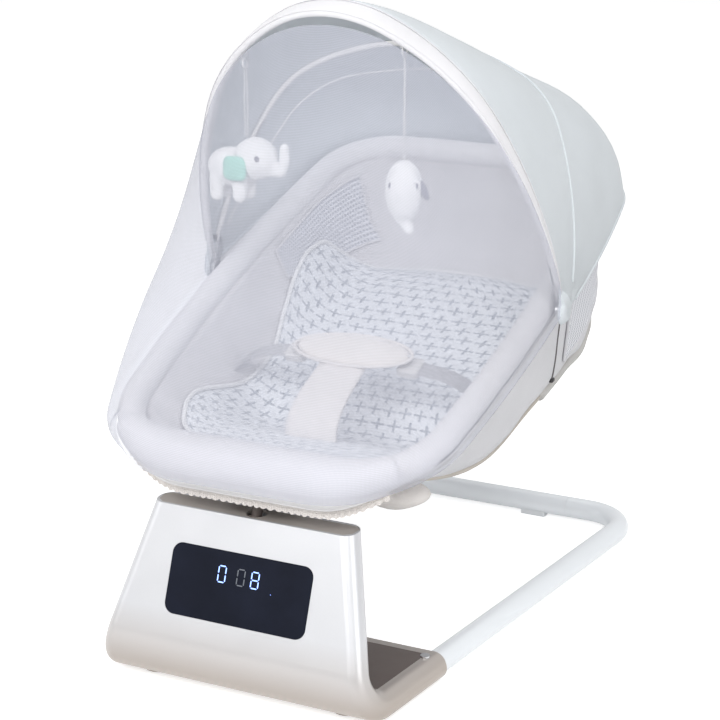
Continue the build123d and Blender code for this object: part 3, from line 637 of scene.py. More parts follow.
FOOT_SHADE_LOW = 0.015  # painted shade: the shell is darkened and warmed up to here, and pale from the next height
FOOT_SHADE_HIGH = 0.095


def shell_look(name, color, foot_shade_color, rough):
    # Champagne-silver lacquer with fine flake, and painted shade that makes it darker and warmer towards its
    # foot.
    look = Look(name)
    # painted shade: share of the darker, warmer foot colour, full at the bottom
    low = look.spread(look.parts("Object")[2], 1.0, 0.0, FOOT_SHADE_LOW, FOOT_SHADE_HIGH)
    flake = look.clouded(color, vary=0.03, scale=2600.0, detail=2.0)
    look.color(look.mix(low, flake, foot_shade_color))
    look.rough(scale=30.0, detail=5.0, middle=rough, by=0.03)
    look.bump(look.noise(scale=1600.0, detail=2.0), depth=0.00003, strength=0.5)
    look.put(Metallic=0.45, Coat_Weight=0.15)
    return look.material


def cloth_look(name, color, pitch, depth=0.00025, fold=0.0012, tint=None):
    # Woven cloth mapped along its own threads, with soft unevenness under the weave.
    look = Look(name)
    threads = look.weave(pitch)
    between = look.spread(threads, 0.0, 0.16, start=1.4, end=0.2)
    look.color(look.mix(between, look.clouded(color, vary=0.04), tint or shade(color, 0.72)))
    look.rough(scale=120.0, detail=3.0, middle=0.85, by=0.06)
    if fold:
        look.bump(look.noise(scale=26.0, detail=3.0), fold, strength=0.35)
    look.bump(threads, depth, strength=0.7)
    look.put(Sheen_Weight=0.25, Sheen_Roughness=0.4)
    return look.material


def plush_look(name, color, vary=0.05):
    # Short pile that catches the light at its tips.
    look = Look(name)
    pile = look.noise(scale=700.0, detail=6.0, rough=0.7)
    clump = look.noise(scale=90.0)
    base = look.mix(look.spread(clump, 0.0, 1.0), shade(color, 1 - vary), shade(color, 1 + vary))
    tips = look.spread(pile, 0.0, 0.35, start=0.6, end=0.3)
    look.color(look.mix(tips, base, shade(color, 0.7)))
    look.bump(clump, depth=0.0012, strength=0.4)
    look.bump(pile, depth=0.0009, strength=0.7)
    look.put(Roughness=0.95, Sheen_Weight=0.6, Sheen_Roughness=0.5)
    return look.material


def mesh_look(name, color, hole, pitch):
    # Knitted air mesh: rows of small dark holes.
    look = Look(name)
    far = look.math("SQRT", look.squares(*look.cells(pitch)))
    open_part = look.spread(far, 1.0, 0.0, start=0.24, end=0.36)
    look.color(look.mix(open_part, color, hole))
    look.bump(far, depth=0.0006, strength=0.8)
    look.put(Roughness=0.8, Sheen_Weight=0.2)
    return look.material


def cross_look(name, color, mark, pitch, reach, half):
    # White cotton printed with rows of small plain crosses, every other row shifted.
    look = Look(name)
    sides = [look.math("ABSOLUTE", part) for part in look.cells(pitch)]
    within_reach = look.math("LESS_THAN", look.math("MAXIMUM", *sides), reach)
    within_bar = look.math("LESS_THAN", look.math("MINIMUM", *sides), half)
    inside = look.math("MULTIPLY", within_reach, within_bar)
    cloud = look.spread(look.noise(scale=9.0, detail=5.0), 0.0, 1.0)
    base = look.mix(cloud, shade(color, 0.96), shade(color, 1.03))
    worn = look.spread(look.noise(scale=160.0, detail=3.0), 0.55, 0.95)
    look.color(look.mix(look.math("MULTIPLY", inside, worn), base, mark))
    look.bump(look.noise(scale=30.0, detail=3.0), depth=0.0015, strength=0.4)
    look.bump(look.weave(pitch=0.0011), depth=0.0002, strength=0.6)
    look.put(Roughness=0.9, Sheen_Weight=0.3)
    return look.material


def net_look(name, color, pitch, thin, thick):
    # Fine open netting, seen as a haze with its threads just showing.
    look = Look(name)
    threads = look.weave(pitch)
    drift = look.spread(look.noise(scale=5.0, detail=3.0), -0.03, 0.03)
    veil = look.math("ADD", look.spread(threads, thick, thin, start=0.15, end=0.9), drift)
    look.link(veil, look.shader.inputs["Alpha"])
    look.color(look.clouded(color, vary=0.03, scale=7.0, detail=3.0))
    look.bump(threads, depth=0.0002, strength=0.5)
    look.put(Roughness=0.9)
    look.material.surface_render_method = "BLENDED"
    return look.material


def glow_look(name, color, strength):
    # Lit display segments, a little uneven along their length.
    look = Look(name)
    uneven_light = look.spread(look.noise(scale=600.0, detail=2.0), 0.0, 1.0)
    look.color(look.mix(uneven_light, shade(color, 0.85), color))
    look.put(Emission_Color=(*color, 1.0), Emission_Strength=strength, Roughness=0.3)
    return look.material


# the foot colour of the tower shell is painted shade
PEARL = shell_look("pearl_shell", (0.58, 0.585, 0.605), foot_shade_color=(0.38, 0.33, 0.29), rough=0.34)
TAUPE = hard_look("taupe_cover", (0.115, 0.088, 0.078), rough=0.38, metal=0.25, coat=0.1, grain=1200.0)
LENS = hard_look(
    "display_lens",
    (0.007, 0.009, 0.018),
    rough=0.22,
    grain=300.0,
    depth=0.00001,
    vary=0.3,
    wear=0.03,
    gloss=0.12,
)
BOARD = hard_look("circuit_board", (0.02, 0.13, 0.06), rough=0.45)
BLACK = hard_look("black_plastic", (0.018, 0.018, 0.02), rough=0.5)
COPPER = hard_look("copper_wire", (0.55, 0.24, 0.10), rough=0.35, metal=0.9, grain=2600.0, depth=0.0002)
STEEL = hard_look("bare_steel", (0.55, 0.55, 0.56), rough=0.28, metal=0.95)
TUBE = hard_look(
    "tube_paint",
    (0.80, 0.83, 0.86),
    rough=0.34,
    metal=0.1,
    coat=0.25,
    grain=2200.0,
    depth=0.00001,
    vary=0.012,
    wear=0.02,
)
FRAME = hard_look("frame_paint", (0.46, 0.47, 0.48), rough=0.4, metal=0.5)
RUBBER = hard_look("pad_rubber", (0.05, 0.05, 0.052), rough=0.75, grain=1800.0, depth=0.0001)
BUCKLE = hard_look("buckle_plastic", (0.62, 0.61, 0.60), rough=0.42, grain=1500.0)
CANOPY = cloth_look("canopy_cloth", (0.65, 0.69, 0.72), pitch=0.0013, fold=0.0006)
LINING = cloth_look("canopy_lining", (0.74, 0.725, 0.72), pitch=0.0013)
BAND = cloth_look("edge_band_cloth", (0.78, 0.775, 0.80), pitch=0.0012, fold=0.0006)
RIM = cloth_look("rim_cloth", (0.72, 0.71, 0.72), pitch=0.0012, depth=0.0001, fold=0.0008)
SIDE = cloth_look("bucket_cloth", (0.68, 0.68, 0.705), pitch=0.0012, depth=0.00012, fold=0.0008)
WALL = cloth_look("inner_wall_cloth", (0.69, 0.675, 0.685), pitch=0.0013)
EDGING = cloth_look("edging_cloth", (0.60, 0.585, 0.565), pitch=0.0012, fold=0.0)
# rim tape: a real tape, with painted shade in its darker colour where it lies on the roll's underside
TAPE_WITH_PAINTED_SHADE = cloth_look("rim_tape_painted_shade", (0.50, 0.485, 0.48), pitch=0.0020, depth=0.0006, fold=0.0)
# near-black colour for the slit: painted shadow inside the opening
SHADOW = cloth_look("slit_painted_shadow", (0.16, 0.15, 0.15), pitch=0.0010, fold=0.0)
PIPING = cloth_look("piping_cloth", (0.58, 0.53, 0.475), pitch=0.0012, fold=0.0)
LINER_PIPING = cloth_look("liner_piping", (0.80, 0.80, 0.80), pitch=0.0012, fold=0.0)
CREAM = cloth_look("cream_cloth", (0.78, 0.745, 0.72), pitch=0.0013)
PAD_CLOTH = plush_look("belly_pad_cloth", (0.80, 0.755, 0.715), vary=0.03)
WEBBING = cloth_look("grey_webbing", (0.42, 0.42, 0.435), pitch=0.0018, depth=0.0005, fold=0.0)
LACE = cloth_look(
    "lace_cloth", (0.74, 0.70, 0.67), pitch=0.0022, depth=0.0006, fold=0.0, tint=(0.5, 0.46, 0.43)
)
CORD = cloth_look("cord_cloth", (0.78, 0.78, 0.78), pitch=0.0011, depth=0.0003, fold=0.0)
AIRMESH = mesh_look("mesh_cloth", (0.80, 0.81, 0.85), hole=(0.28, 0.29, 0.34), pitch=0.0052)
# darker copy of the air mesh for the windows seen inside the tub: painted shade
MESH_PAINTED_SHADE = mesh_look("lining_mesh_painted_shade", (0.66, 0.665, 0.70), hole=(0.22, 0.23, 0.27), pitch=0.0052)
PRINT = cross_look(
    "printed_liner", (0.77, 0.79, 0.82), mark=(0.20, 0.23, 0.27), pitch=0.020, reach=0.42, half=0.07
)
NET = net_look("net_cloth", (0.52, 0.535, 0.62), pitch=0.0011, thin=0.40, thick=0.54)
PLUSH = plush_look("toy_plush", (0.86, 0.86, 0.86))
MINT = plush_look("toy_mint", (0.36, 0.68, 0.58))
GREY = plush_look("toy_grey", (0.24, 0.24, 0.28))
LIT = glow_look("lit_segment", (0.30, 0.45, 1.0), strength=1.6)
DIM = glow_look("dim_segment", (0.10, 0.11, 0.13), strength=0.45)
# lighter copy of the taupe plastic for the top cap: painted reflection on its satin top
CAP_PAINTED_REFLECTION = hard_look("top_cap", (0.42, 0.385, 0.355), rough=0.42, metal=0.25, grain=1200.0)
BRACKET = hard_look("dark_bracket", (0.075, 0.058, 0.05), rough=0.5, metal=0.2)
SADDLE = hard_look("pale_saddle", (0.72, 0.74, 0.76), rough=0.6, grain=1800.0, depth=0.00008)

SLOT_LOOKS = {
    "pearl_plastic": PEARL,
    "taupe_plastic": TAUPE,
    "lens_plastic": LENS,
    "circuit_board": BOARD,
    "black_plastic": BLACK,
    "copper_wire": COPPER,
    "bare_steel": STEEL,
    "tube_paint": TUBE,
    "frame_paint": FRAME,
    "pad_rubber": RUBBER,
    "canopy_cloth": CANOPY,
    "bucket_cloth": SIDE,
    "mesh_cloth": AIRMESH,
    "liner_cloth": PRINT,
    "cream_cloth": CREAM,
    "grey_webbing": WEBBING,
    "buckle_plastic": BUCKLE,
    "net_cloth": NET,
    "lace_cloth": LACE,
    "toy_plush": PLUSH,
    "toy_mint": MINT,
    "toy_grey": GREY,
    "cord_cloth": CORD,
}
DARK_NODES = ("swing_shaft", "shaft_collar", "swing_head", "head_bolt", "frame_bolts")


def paint(node, look):
    for slot in NODES[node].material_slots:
        slot.material = look


for subpart in frame["record"]["subparts"]:
    paint(subpart["node"], SLOT_LOOKS[subpart["material_slot"]])
for node in DARK_NODES:
    paint(node, BRACKET)
paint("rear_foot_pads", SADDLE)
# the top cap takes the lighter copy with painted reflection
paint("tower_top_cap", CAP_PAINTED_REFLECTION)


# Canopy: one sheet from the edge band over the middle hoop down behind the head end

CANOPY_LOW = 0.012  # the cloth runs down to this far from the pivot line
CANOPY_TOP = FRONT_LEAN - BAND_HALF
CANOPY_STEPS = (72, 97)
CLOTH_OUT = 0.0018
CLOTH_IN = 0.0004
LINING_SEAM = -44.0
ARCH_STEPS = 161


def canopy_shape(lean):
    keys = [
        (CANOPY_TOP, *FRONT_ARCH, OVER_HOOP),
        (0.0, *CROWN_ARCH, 0.0005),
        (MID_LEAN, *MID_ARCH, OVER_HOOP),
        (-47.0, *NAPE_ARCH, 0.0),
        (-63.0, *BACK_ARCH, 0.0),
        (HEM_LEAN, *HEAD_ARCH, 0.0),
    ]
    values = curve_through(keys, lean)
    return tuple(values[:5]), values[5]


def canopy_rows(extra):
    count, width = CANOPY_STEPS
    rows = []
    for lean in np.linspace(CANOPY_TOP, HEM_LEAN, count):
        shape, grow = canopy_shape(lean)
        line = arch_line(shape, grow + extra, CANOPY_LOW, width)
        rows.append(arch_point(line[:, 0], line[:, 1], lean))
    return np.array(rows)


def canopy_share(lean):
    # How far the cloth at each lean follows the front hoop.
    return np.interp(lean, [HEM_LEAN, MID_LEAN, FRONT_LEAN], [0.0, MID_SHARE, 1.0])


def fold_with_canopy(piece, share=canopy_share):
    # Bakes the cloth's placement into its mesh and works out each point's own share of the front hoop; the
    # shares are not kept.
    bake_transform(piece)
    points = points_of(piece.data)
    lean = np.degrees(np.arctan2(-(points[:, 1] - PIVOT_Y), points[:, 2] - PIVOT_Z))
    share(lean).astype(np.float32)


outer = canopy_rows(CLOTH_OUT)
inner = canopy_rows(CLOTH_IN)
canopy = dress(shell("canopy_sheet", outer, inner), CANOPY, LINING)
fold_with_canopy(canopy)
canopy.visible_shadow = False  # thin cloth lets the light through
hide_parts("canopy_front_panel", "canopy_rear_panel")


def arch_bead(name, lean, shape, grow, low, radius):
    line = arch_line(shape, grow, low, ARCH_STEPS)
    path = arch_point(line[:, 0], line[:, 1], lean)
    return tube(name, path, radius, side_to=(0, 1, 0))


seam_bead = arch_bead(
    "canopy_mid_piping", MID_LEAN, MID_ARCH, grow=OVER_HOOP + 0.0020, low=0.034, radius=0.0016
)
finished(seam_bead, CANOPY, "canopy_mid")
sleeve = arch_bead("mid_hoop_sleeve", MID_LEAN, MID_ARCH, grow=0.0, low=0.030, radius=0.0036)
finished(sleeve, LINING, "canopy_mid")
seam_shape, seam_grow = canopy_shape(LINING_SEAM)
lining_seam = arch_bead(
    "canopy_lining_seam", LINING_SEAM, seam_shape, grow=seam_grow - CLOTH_IN, low=0.060, radius=0.0011
)
dress(lining_seam, LINING)
fold_with_canopy(lining_seam)
hem_bead = arch_bead("canopy_rear_hem", HEM_LEAN, HEAD_ARCH, grow=0.0010, low=0.030, radius=0.0024)
on_seat(hem_bead, CANOPY)

# Edge band: a padded sleeve round the front hoop, stitched along both sides

BAND_LOW = 0.010
BAND_IN = -HOOP_R - 0.0012
BAND_OUT = 0.0064
BAND_SIDES = 28
BAND_INSET = 0.05
STITCH_FROM_EDGE = 0.35


def band_rows():
    lines = [arch_line(FRONT_ARCH, grow, BAND_LOW, ARCH_STEPS) for grow in (BAND_IN, BAND_OUT)]
    turn = full_turn(BAND_SIDES)
    across = rounded(turn, power=0.6)[0] * (BAND_HALF - BAND_INSET)
    through = 0.5 + 0.5 * rounded(turn, power=0.75)[1]
    rows = []
    for low, high in zip(*lines):
        spot = low[None] + (high - low)[None] * through[:, None]
        rows.append(arch_point(spot[:, 0], spot[:, 1], FRONT_LEAN + across))
    return np.array(rows)


band = finished(closed_piece("canopy_edge_sleeve", band_rows()), BAND, "canopy_front")
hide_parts("canopy_edge_band")
for edge, off in (("front", BAND_HALF - STITCH_FROM_EDGE), ("rear", STITCH_FROM_EDGE - BAND_HALF)):
    lean = FRONT_LEAN + off
    stitch = arch_bead(f"band_stitch_{edge}", lean, FRONT_ARCH, grow=0.0058, low=0.040, radius=0.0006)
    finished(stitch, BAND, "canopy_front")

# Tab of canopy cloth over each pivot

TAB_SMALL = 0.0165
TAB_LARGE = 0.0400
TAB_FOOT_X = 0.2325
TAB_TOP_X = 0.2402
TAB_REAR = -84.0
TAB_REAR_FADE = 60.0
TAB_FRONT = 52.0
TAB_FRONT_FADE = 36.0
TAB_FLAT_FROM = 0.034  # past this far from the pivot the tab lies flat on the cloth
TAB_FLAT_FADE = 0.022
TAB_SIDES = 96
TAB_RINGS = (1.0, 0.985, 0.95, 0.88, 0.78, 0.66, 0.5, 0.34, 0.18, 0.01)


def tab_rows():
    # Rings round the pivot, reaching up between the band and the rear of the canopy.
    turn = np.linspace(-180.0, 180.0, TAB_SIDES + 1)[:-1]
    up = smooth((turn - TAB_REAR) / TAB_REAR_FADE) * smooth((TAB_FRONT - turn) / TAB_FRONT_FADE)
    reach = TAB_SMALL + (TAB_LARGE - TAB_SMALL) * up
    rows = []
    for share in TAB_RINGS:
        crown = smooth((TAB_FLAT_FROM - reach * share) / TAB_FLAT_FADE) * (1 - share**6)
        x = TAB_FOOT_X + (TAB_TOP_X - TAB_FOOT_X) * crown
        rows.append(arch_point(x, reach * share, turn))
    return np.array(rows)


for side in SIDES:
    pivot_tab = dress(closed_piece(f"pivot_tab_{side}", sided(side, tab_rows())), CANOPY)
    fold_with_canopy(pivot_tab)
    if side == "right":
        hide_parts("pivot_pins")

# Rim roll and the wide foot pad, along one outline

RING_STEPS = 360
FOOT_ENDS = BOLSTER_FROM - 0.002
ROLL_ENDS = BOLSTER_FROM - 0.016
loop, inward = ring_outline(RING_STEPS)
start_at_head = np.roll(np.arange(len(loop)), -len(loop) // 2)
foot_part = [i for i in start_at_head if loop[i][1] < FOOT_ENDS]
roll_part = [i for i in range(len(loop)) if loop[i][1] > ROLL_ENDS]


def rim_line(part, inset, up):
    # A line beside part of the outline, moved inward and up.
    flat = loop[part] + inward[part] * np.reshape(inset, (-1, 1))
    return ring_point(flat[:, 0], flat[:, 1], up)


def round_rim(part, radius, turn):
    # A line at one angle round part of the outline.
    return rim_line(part, radius * np.cos(turn), radius * np.sin(turn))


def rounded_ends(rows, reach):
    # Closes both ends of a pad softly.
    middle = rows.mean(1, keepdims=True)
    run = run_along(middle[:, 0])
    near = np.minimum(run, run[-1] - run) / reach
    size = np.sqrt(np.clip(1 - (1 - np.clip(near, 0, 1)) ** 2, 0.02, 1))
    return middle + (rows - middle) * size[:, None, None]


ROLL_SIDES = 24
ROLL_SKIN = ROLL_R - 0.0010  # the padding swells back to the roll's own radius
ROLL_SEAMS = (ROLL_SIDES * 5 // 8, ROLL_SIDES * 7 // 8)
roll_rows = np.stack([round_rim(roll_part, ROLL_SKIN, turn) for turn in full_turn(ROLL_SIDES)], axis=1)
roll_rows = uneven(roll_rows, amount=0.02, size=0.07, seed=3)
roll = stuffed_tube("rim_padding", roll_rows, ROLL_SEAMS, pressure=3.0, frames=12, cap=0.0020)
on_seat(roll, RIM)
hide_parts("rim_roll")

FOOT_SIDES = 36
FOOT_SKIN = -0.0005
LOW_SEAM = 215.0
INNER_SEAM = 20.0
FOOT_TAPER = 0.085
FOOT_END_R = ROLL_R + 0.0015
BAR_TURN = math.radians(135.0)
BAR_BULGE = 0.0045  # the pad stands out over the frame's foot bar


def foot_sizes():
    # Radius, inset and height of the foot pad's section at each point, from the roll's to its own.
    run = run_along(loop[foot_part])
    full = smooth(np.minimum(run, run[-1] - run) / FOOT_TAPER)
    return FOOT_END_R + (BOLSTER_R - FOOT_END_R) * full, BOLSTER_IN * full, BOLSTER_UP * full


def foot_line(turn, out):
    # Points at one angle round the foot pad, along its whole length.
    radius, inset, up = foot_sizes()
    reach = radius + out + BAR_BULGE * max(0.0, math.cos(turn - BAR_TURN)) ** 2
    return rim_line(foot_part, inset + reach * math.cos(turn), up + reach * math.sin(turn))


foot_rows = np.stack([foot_line(turn, FOOT_SKIN) for turn in full_turn(FOOT_SIDES)], axis=1)
foot_rows = rounded_ends(uneven(foot_rows, amount=0.014, size=0.09, seed=5), reach=0.008)
foot_seams = [round(angle * FOOT_SIDES / 360) for angle in (LOW_SEAM, INNER_SEAM)]
foot_pad = stuffed_tube("foot_padding", foot_rows, foot_seams, pressure=4.0, frames=14, cap=0.0030)
on_seat(foot_pad, RIM)
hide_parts("foot_bolster")

# Net from the band down to the foot rim, drawn in under it

FOOT_LEAN = 109.0
NET_WIDE = 0.2355
NET_OUT = 0.008
NET_TOP = FRONT_LEAN + BAND_HALF - 0.3
NET_STEPS = (60, 193)
HEM_OUT = 0.0205
HEM_DOWN = -0.0125
HEM_SHARES = (0.2, 0.4, 0.6, 0.8, 1.0)
NET_CLEAR = 0.0042
NET_OVER_ROLL = 0.001
BESIDE_FAR = 0.020
BESIDE_FADE = 0.012

# Lean, shoulder radius and the headings of the shoulder; the last row only levels the curve
NET_KEYS = [
    (NET_TOP, 0.250, 25.0, 62.0),
    (46.0, 0.215, 20.0, 67.0),
    (68.0, 0.180, 15.0, 72.0),
    (90.0, 0.150, 9.0, 80.0),
    (FOOT_LEAN, 0.140, 6.0, 85.0),
    (114.8, 0.140, 6.0, 85.0),
]


def net_reach(lean):
    # How far from the pivots a straight line from the hoop to the foot rim passes.
    near, far = FRONT_ARCH[1], RING_FOOT + ROLL_R + NET_OUT
    front, foot, lean = [math.radians(angle) for angle in (FRONT_LEAN, FOOT_LEAN, lean)]
    a = np.array([near * math.sin(front), near * math.cos(front)])
    b = np.array([far * math.sin(foot), far * math.cos(foot)])
    across = np.array([b[1] - a[1], a[0] - b[0]])
    return float(a @ across / (math.sin(lean) * across[0] + math.cos(lean) * across[1]))


def net_line(lean):
    shoulder, start, end = curve_through(NET_KEYS, lean)
    line = arch_line((NET_WIDE, net_reach(lean), shoulder, start, end), 0.0, CANOPY_LOW, NET_STEPS[1])
    return arch_point(line[:, 0], line[:, 1], lean)


def net_share(lean):
    return np.interp(np.mod(lean, 360), [FRONT_LEAN + BAND_HALF, FOOT_LEAN], [1.0, 0.0])


def nearest(flat):
    # The outline's points nearest to points in the ring's plane.
    return np.argmin(((flat[:, None] - loop[None]) ** 2).sum(-1), axis=1)


def tucked(row, out, down):
    # A line of cloth drawn in under the rim, beside the outline's nearest points.
    x, along, _ = ring_coords(row)
    return rim_line(nearest(np.stack([x, along], -1)), -out, down)


def draped(row):
    # Keeps the net outside the padding it is pulled over.
    sizes = (ROLL_R + NET_OVER_ROLL, 0.0, 0.0, 0.0)
    radius, inset, up, bulge = [np.full(len(loop), value) for value in sizes]
    radius[foot_part], inset[foot_part], up[foot_part] = foot_sizes()
    bulge[foot_part] = BAR_BULGE
    x, along, rise = ring_coords(row)
    flat = np.stack([x, along], -1)
    near = nearest(flat)
    into = inward[near]
    gap = flat - loop[near]
    off = (gap * into).sum(-1) - inset[near]
    beside = np.linalg.norm(gap - (off + inset[near])[:, None] * into, axis=1)
    lift = rise - up[near]
    turn = np.arctan2(lift, off)
    reach = radius[near] + NET_CLEAR + bulge[near] * np.clip(np.cos(turn - BAR_TURN), 0, 1) ** 2
    grow = np.maximum(reach / np.hypot(off, lift), 1.0)
    grow = 1 + (grow - 1) * smooth((BESIDE_FAR - beside) / BESIDE_FADE)
    flat = flat + into * (off * (grow - 1))[:, None]
    return ring_point(flat[:, 0], flat[:, 1], up[near] + lift * grow)


def between(first, second, shares):
    return [first * (1 - share) + second * share for share in shares]


net_rows = [net_line(lean) for lean in np.linspace(NET_TOP, FOOT_LEAN, NET_STEPS[0])]
hem_line = even(tucked(net_rows[-1], HEM_OUT, HEM_DOWN), NET_STEPS[1])
net_rows += between(net_rows[-1], hem_line, HEM_SHARES)
net_rows = np.array([draped(row) for row in net_rows])
net = dress(cloth_piece("insect_net_sheet", net_rows), NET)
net.visible_shadow = False  # open net lets the light through
fold_with_canopy(net, net_share)
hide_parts("insect_net")


# Skirt that joins the canopy's rear hem to the rim

skirt_end = tucked(inner[-1], out=0.0130, down=-0.0090)
skirt_rows = np.array(between(inner[-1], skirt_end, (0.0, 0.25, 0.5, 0.75, 1.0)))
skirt = on_seat(cloth_piece("canopy_skirt", skirt_rows), LINING)

# Seams of the foot pad, and the tape under the rim, darkened with painted shade on the roll's underside

for seam, angle in (("low", LOW_SEAM), ("inner", INNER_SEAM)):
    path = foot_line(math.radians(angle), out=-0.0006)[4:-4]
    on_seat(tube(f"foot_pad_{seam}_seam", path, radius=0.0013), RIM)

TAPE_FROM = -0.288
TAPE_TO = 0.040
TAPE_HIGH = 196.0
TAPE_LOW = 232.0
TAPE_OUT = ROLL_R + 0.0022
TAPE_EDGE_R = 0.0009
tape_part = [i for i in range(len(loop)) if loop[i][0] > 0 and TAPE_FROM < loop[i][1] < TAPE_TO]
tape_turns = np.radians(np.linspace(TAPE_HIGH, TAPE_LOW, 7))
for side in SIDES:
    rows = np.array([round_rim(tape_part, TAPE_OUT, turn) for turn in tape_turns])
    rows = rows if side == "right" else mirrored(rows)[::-1]
    # the tape sheet is darkened with painted shade
    on_seat(cloth_piece(f"rim_tape_{side}", rows), TAPE_WITH_PAINTED_SHADE)
    for edge, row in (("high", rows[0]), ("low", rows[-1])):
        on_seat(tube(f"rim_tape_{edge}_edge_{side}", row, TAPE_EDGE_R), EDGING)

# Gathered lace hem under the foot pad

LACE_STEPS = 1100
LACE_LONG = 0.42
LACE_TURN = math.radians(232.0)
GATHER_PITCH = 0.0105
SLACK_PITCH = 0.0173
DRIFT_PITCH = 0.071
DRIFT_BY = 0.0016
GATHER_OUT = 0.0008
LACE_FLARE = 0.0035
LACE_FALL = 0.0072
SCALLOP_FALL = 0.0018


def wave(run, pitch):
    return run * 2 * np.pi / pitch


def lace_rows():
    path = even(foot_line(LACE_TURN, out=-0.001)[3:-3], LACE_STEPS)
    plane_up = np.array([0.0, -math.sin(RECLINE), math.cos(RECLINE)])
    outside = np.cross(plane_up, unit(np.gradient(path, axis=0)))
    run = np.linspace(0, LACE_LONG, LACE_STEPS)
    drift = DRIFT_BY * np.sin(wave(run, DRIFT_PITCH))
    gather = np.sin(wave(run + drift, GATHER_PITCH)) + 0.5 * np.sin(wave(run, SLACK_PITCH) + 1.0)
    scallop = 0.5 - 0.5 * np.cos(wave(run + drift, GATHER_PITCH))
    sign = 1.0 if outside[LACE_STEPS // 2, 1] < 0 else -1.0
    rows = []
    for drop in np.linspace(0, 1, 8):
        out = GATHER_OUT * np.sqrt(drop) * gather + LACE_FLARE * drop
        fall = LACE_FALL * drop + SCALLOP_FALL * drop * drop * scallop
        rows.append(path + sign * outside * out[:, None] - plane_up * fall[:, None])
    return np.array(rows)


lace_points = lace_rows()
lace = on_seat(cloth_piece("lace_hem", lace_points), LACE)
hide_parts("net_hem")
on_seat(tube("lace_elastic", foot_line(LACE_TURN, out=0.0003)[3:-3], radius=0.0018), LACE)

# Bucket outside, closed at its head and foot ends

TUB_STEPS = (84, 81)
TUB_END_STEPS = 6
TUB_END_RISE = 0.004
TUB_END_SHRINK = 0.06
CORNER_OF_DEPTH = 0.48  # the most of a tub's depth and width that its corner takes up
CORNER_OF_WIDTH = 0.9


def tub_line(wide, low, deep, edge, corner, count):
    # Across the tub from the right rim to the left, with soft corners at the bottom.
    reach = min(corner, CORNER_OF_DEPTH * (deep + edge), CORNER_OF_WIDTH * low)
    rim, foot = np.array([wide, edge]), np.array([low, -deep])
    start, end = foot + unit(rim - foot) * reach, foot - np.array([reach, 0.0])
    points = [rim]
    for t in np.linspace(0, 1, CORNER_STEPS):
        points.append(start * (1 - t) ** 2 + foot * 2 * t * (1 - t) + end * t * t)
    return even(there_and_back(np.array(points)), count)


def tub_rows(stations, places, grow, edge, corner, count):
    rows = []
    for place in places:
        wide, low, deep = curve_through(stations, place) + grow
        line = tub_line(wide, low, deep, edge, corner, count)
        rows.append(ring_point(line[:, 0], place, line[:, 1]))
    return np.array(rows)


def end_rows(stations, place, push, grow, edge, corner):
    # Rows that close one end of a tub, rising to its rim.
    wide, low, deep = curve_through(stations, place) + grow
    rows = []
    for t in np.linspace(0, 1, TUB_END_STEPS + 1)[1:]:
        drop = deep + (TUB_END_RISE - edge - deep) * t
        shrink = 1 - TUB_END_SHRINK * t
        line = tub_line(wide * shrink, low * shrink, drop, edge, corner, TUB_STEPS[1])
        rows.append(ring_point(line[:, 0], place + push * math.sin(t * math.pi / 2), line[:, 1]))
    return rows


def whole_tub(stations, push, grow, edge, corner):
    first, last = stations[0][0], stations[-1][0]
    places = np.linspace(first, last, TUB_STEPS[0])
    foot = end_rows(stations, first, -push, grow, edge, corner)[::-1]
    head = end_rows(stations, last, push, grow, edge, corner)
    return np.array(foot + list(tub_rows(stations, places, grow, edge, corner, TUB_STEPS[1])) + head)


BUCKET_EDGE = -0.012
BUCKET_CORNER = 0.034
BUCKET_WALL = 0.005
WALL_STEPS = 121
bucket_outer = whole_tub(BUCKET, push=0.004, grow=0.0, edge=BUCKET_EDGE, corner=BUCKET_CORNER)
bucket_outer = rumpled(bucket_outer, depth=0.0008, size=0.09, seed=11)
inner_corner = BUCKET_CORNER - 0.004
bucket_inner = whole_tub(BUCKET, push=0.001, grow=-BUCKET_WALL, edge=BUCKET_EDGE, corner=inner_corner)
bucket = on_seat(shell("bucket_fabric", bucket_outer, bucket_inner), (SIDE, WALL))
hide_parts("seat_bucket")


def on_wall(stations, grow, edge, corner, line, out):
    # Points on a tub's right side at places along the ring and heights, moved out from it.
    line = np.asarray(line, float)
    found = []
    for place, height in line.reshape(-1, 2):
        wide, low, deep = curve_through(stations, place) + grow
        right = tub_line(wide, low, deep, edge, corner, WALL_STEPS)[: WALL_STEPS // 2 + 1]
        found.append(np.interp(-height, -right[:, 1], right[:, 0]))
    x = np.reshape(found, line.shape[:-1])
    return ring_point(x + out, line[..., 0], line[..., 1])


def on_bucket(line, out):
    return on_wall(BUCKET, 0.0, BUCKET_EDGE, BUCKET_CORNER, line, out)


def patch_lines(top, low, across, down):
    top, low = even(top, across), even(low, across)
    return np.array(between(top, low, np.linspace(0, 1, down)))


def border_of(rows):
    return np.concatenate([rows[0], rows[1:-1, -1], rows[-1][::-1], rows[1:-1, 0][::-1]])


# Mesh windows, seen outside below the canopy and inside in the lining; slit, piping and edge roll
WINDOW_TOP = [(0.118, -0.064), (0.176, -0.036), (0.272, -0.036)]
WINDOW_LOW = [(0.104, -0.152), (0.152, -0.160), (0.236, -0.150), (0.276, -0.110)]
WINDOW_OUT = 0.0026
SLIT = [(0.086, -0.030), (0.080, -0.074), (0.077, -0.101), (0.076, -0.127), (0.070, -0.158)]
SLIT_R = 0.0011
TRIM_R = 0.0020
PIPE_R = 0.0032
EDGE_ROLL_R = 0.0080
ROLL_TOP = [(0.122, 0.312, -0.062), (0.112, 0.318, -0.034), (0.106, 0.319, -0.010)]  # its end under the rim
GLIDE_SIZE = (0.006, 0.009, 0.005)
GLIDE_BEVEL = 0.0010


def side_bead(name, side, path, radius, look, closed=False):
    path = path if side == "right" else mirrored(path)
    return on_seat(tube(name, path, radius, sides=10, closed=closed, side_to=(1, 0, 0)), look)


def low_edge(first, last, inset, up):
    # A line along the bottom edge of the bucket.
    places = np.linspace(first, last, 60)
    sizes = curve_through(BUCKET, places)
    return ring_point(sizes[:, 1] - inset, places, up - sizes[:, 2])


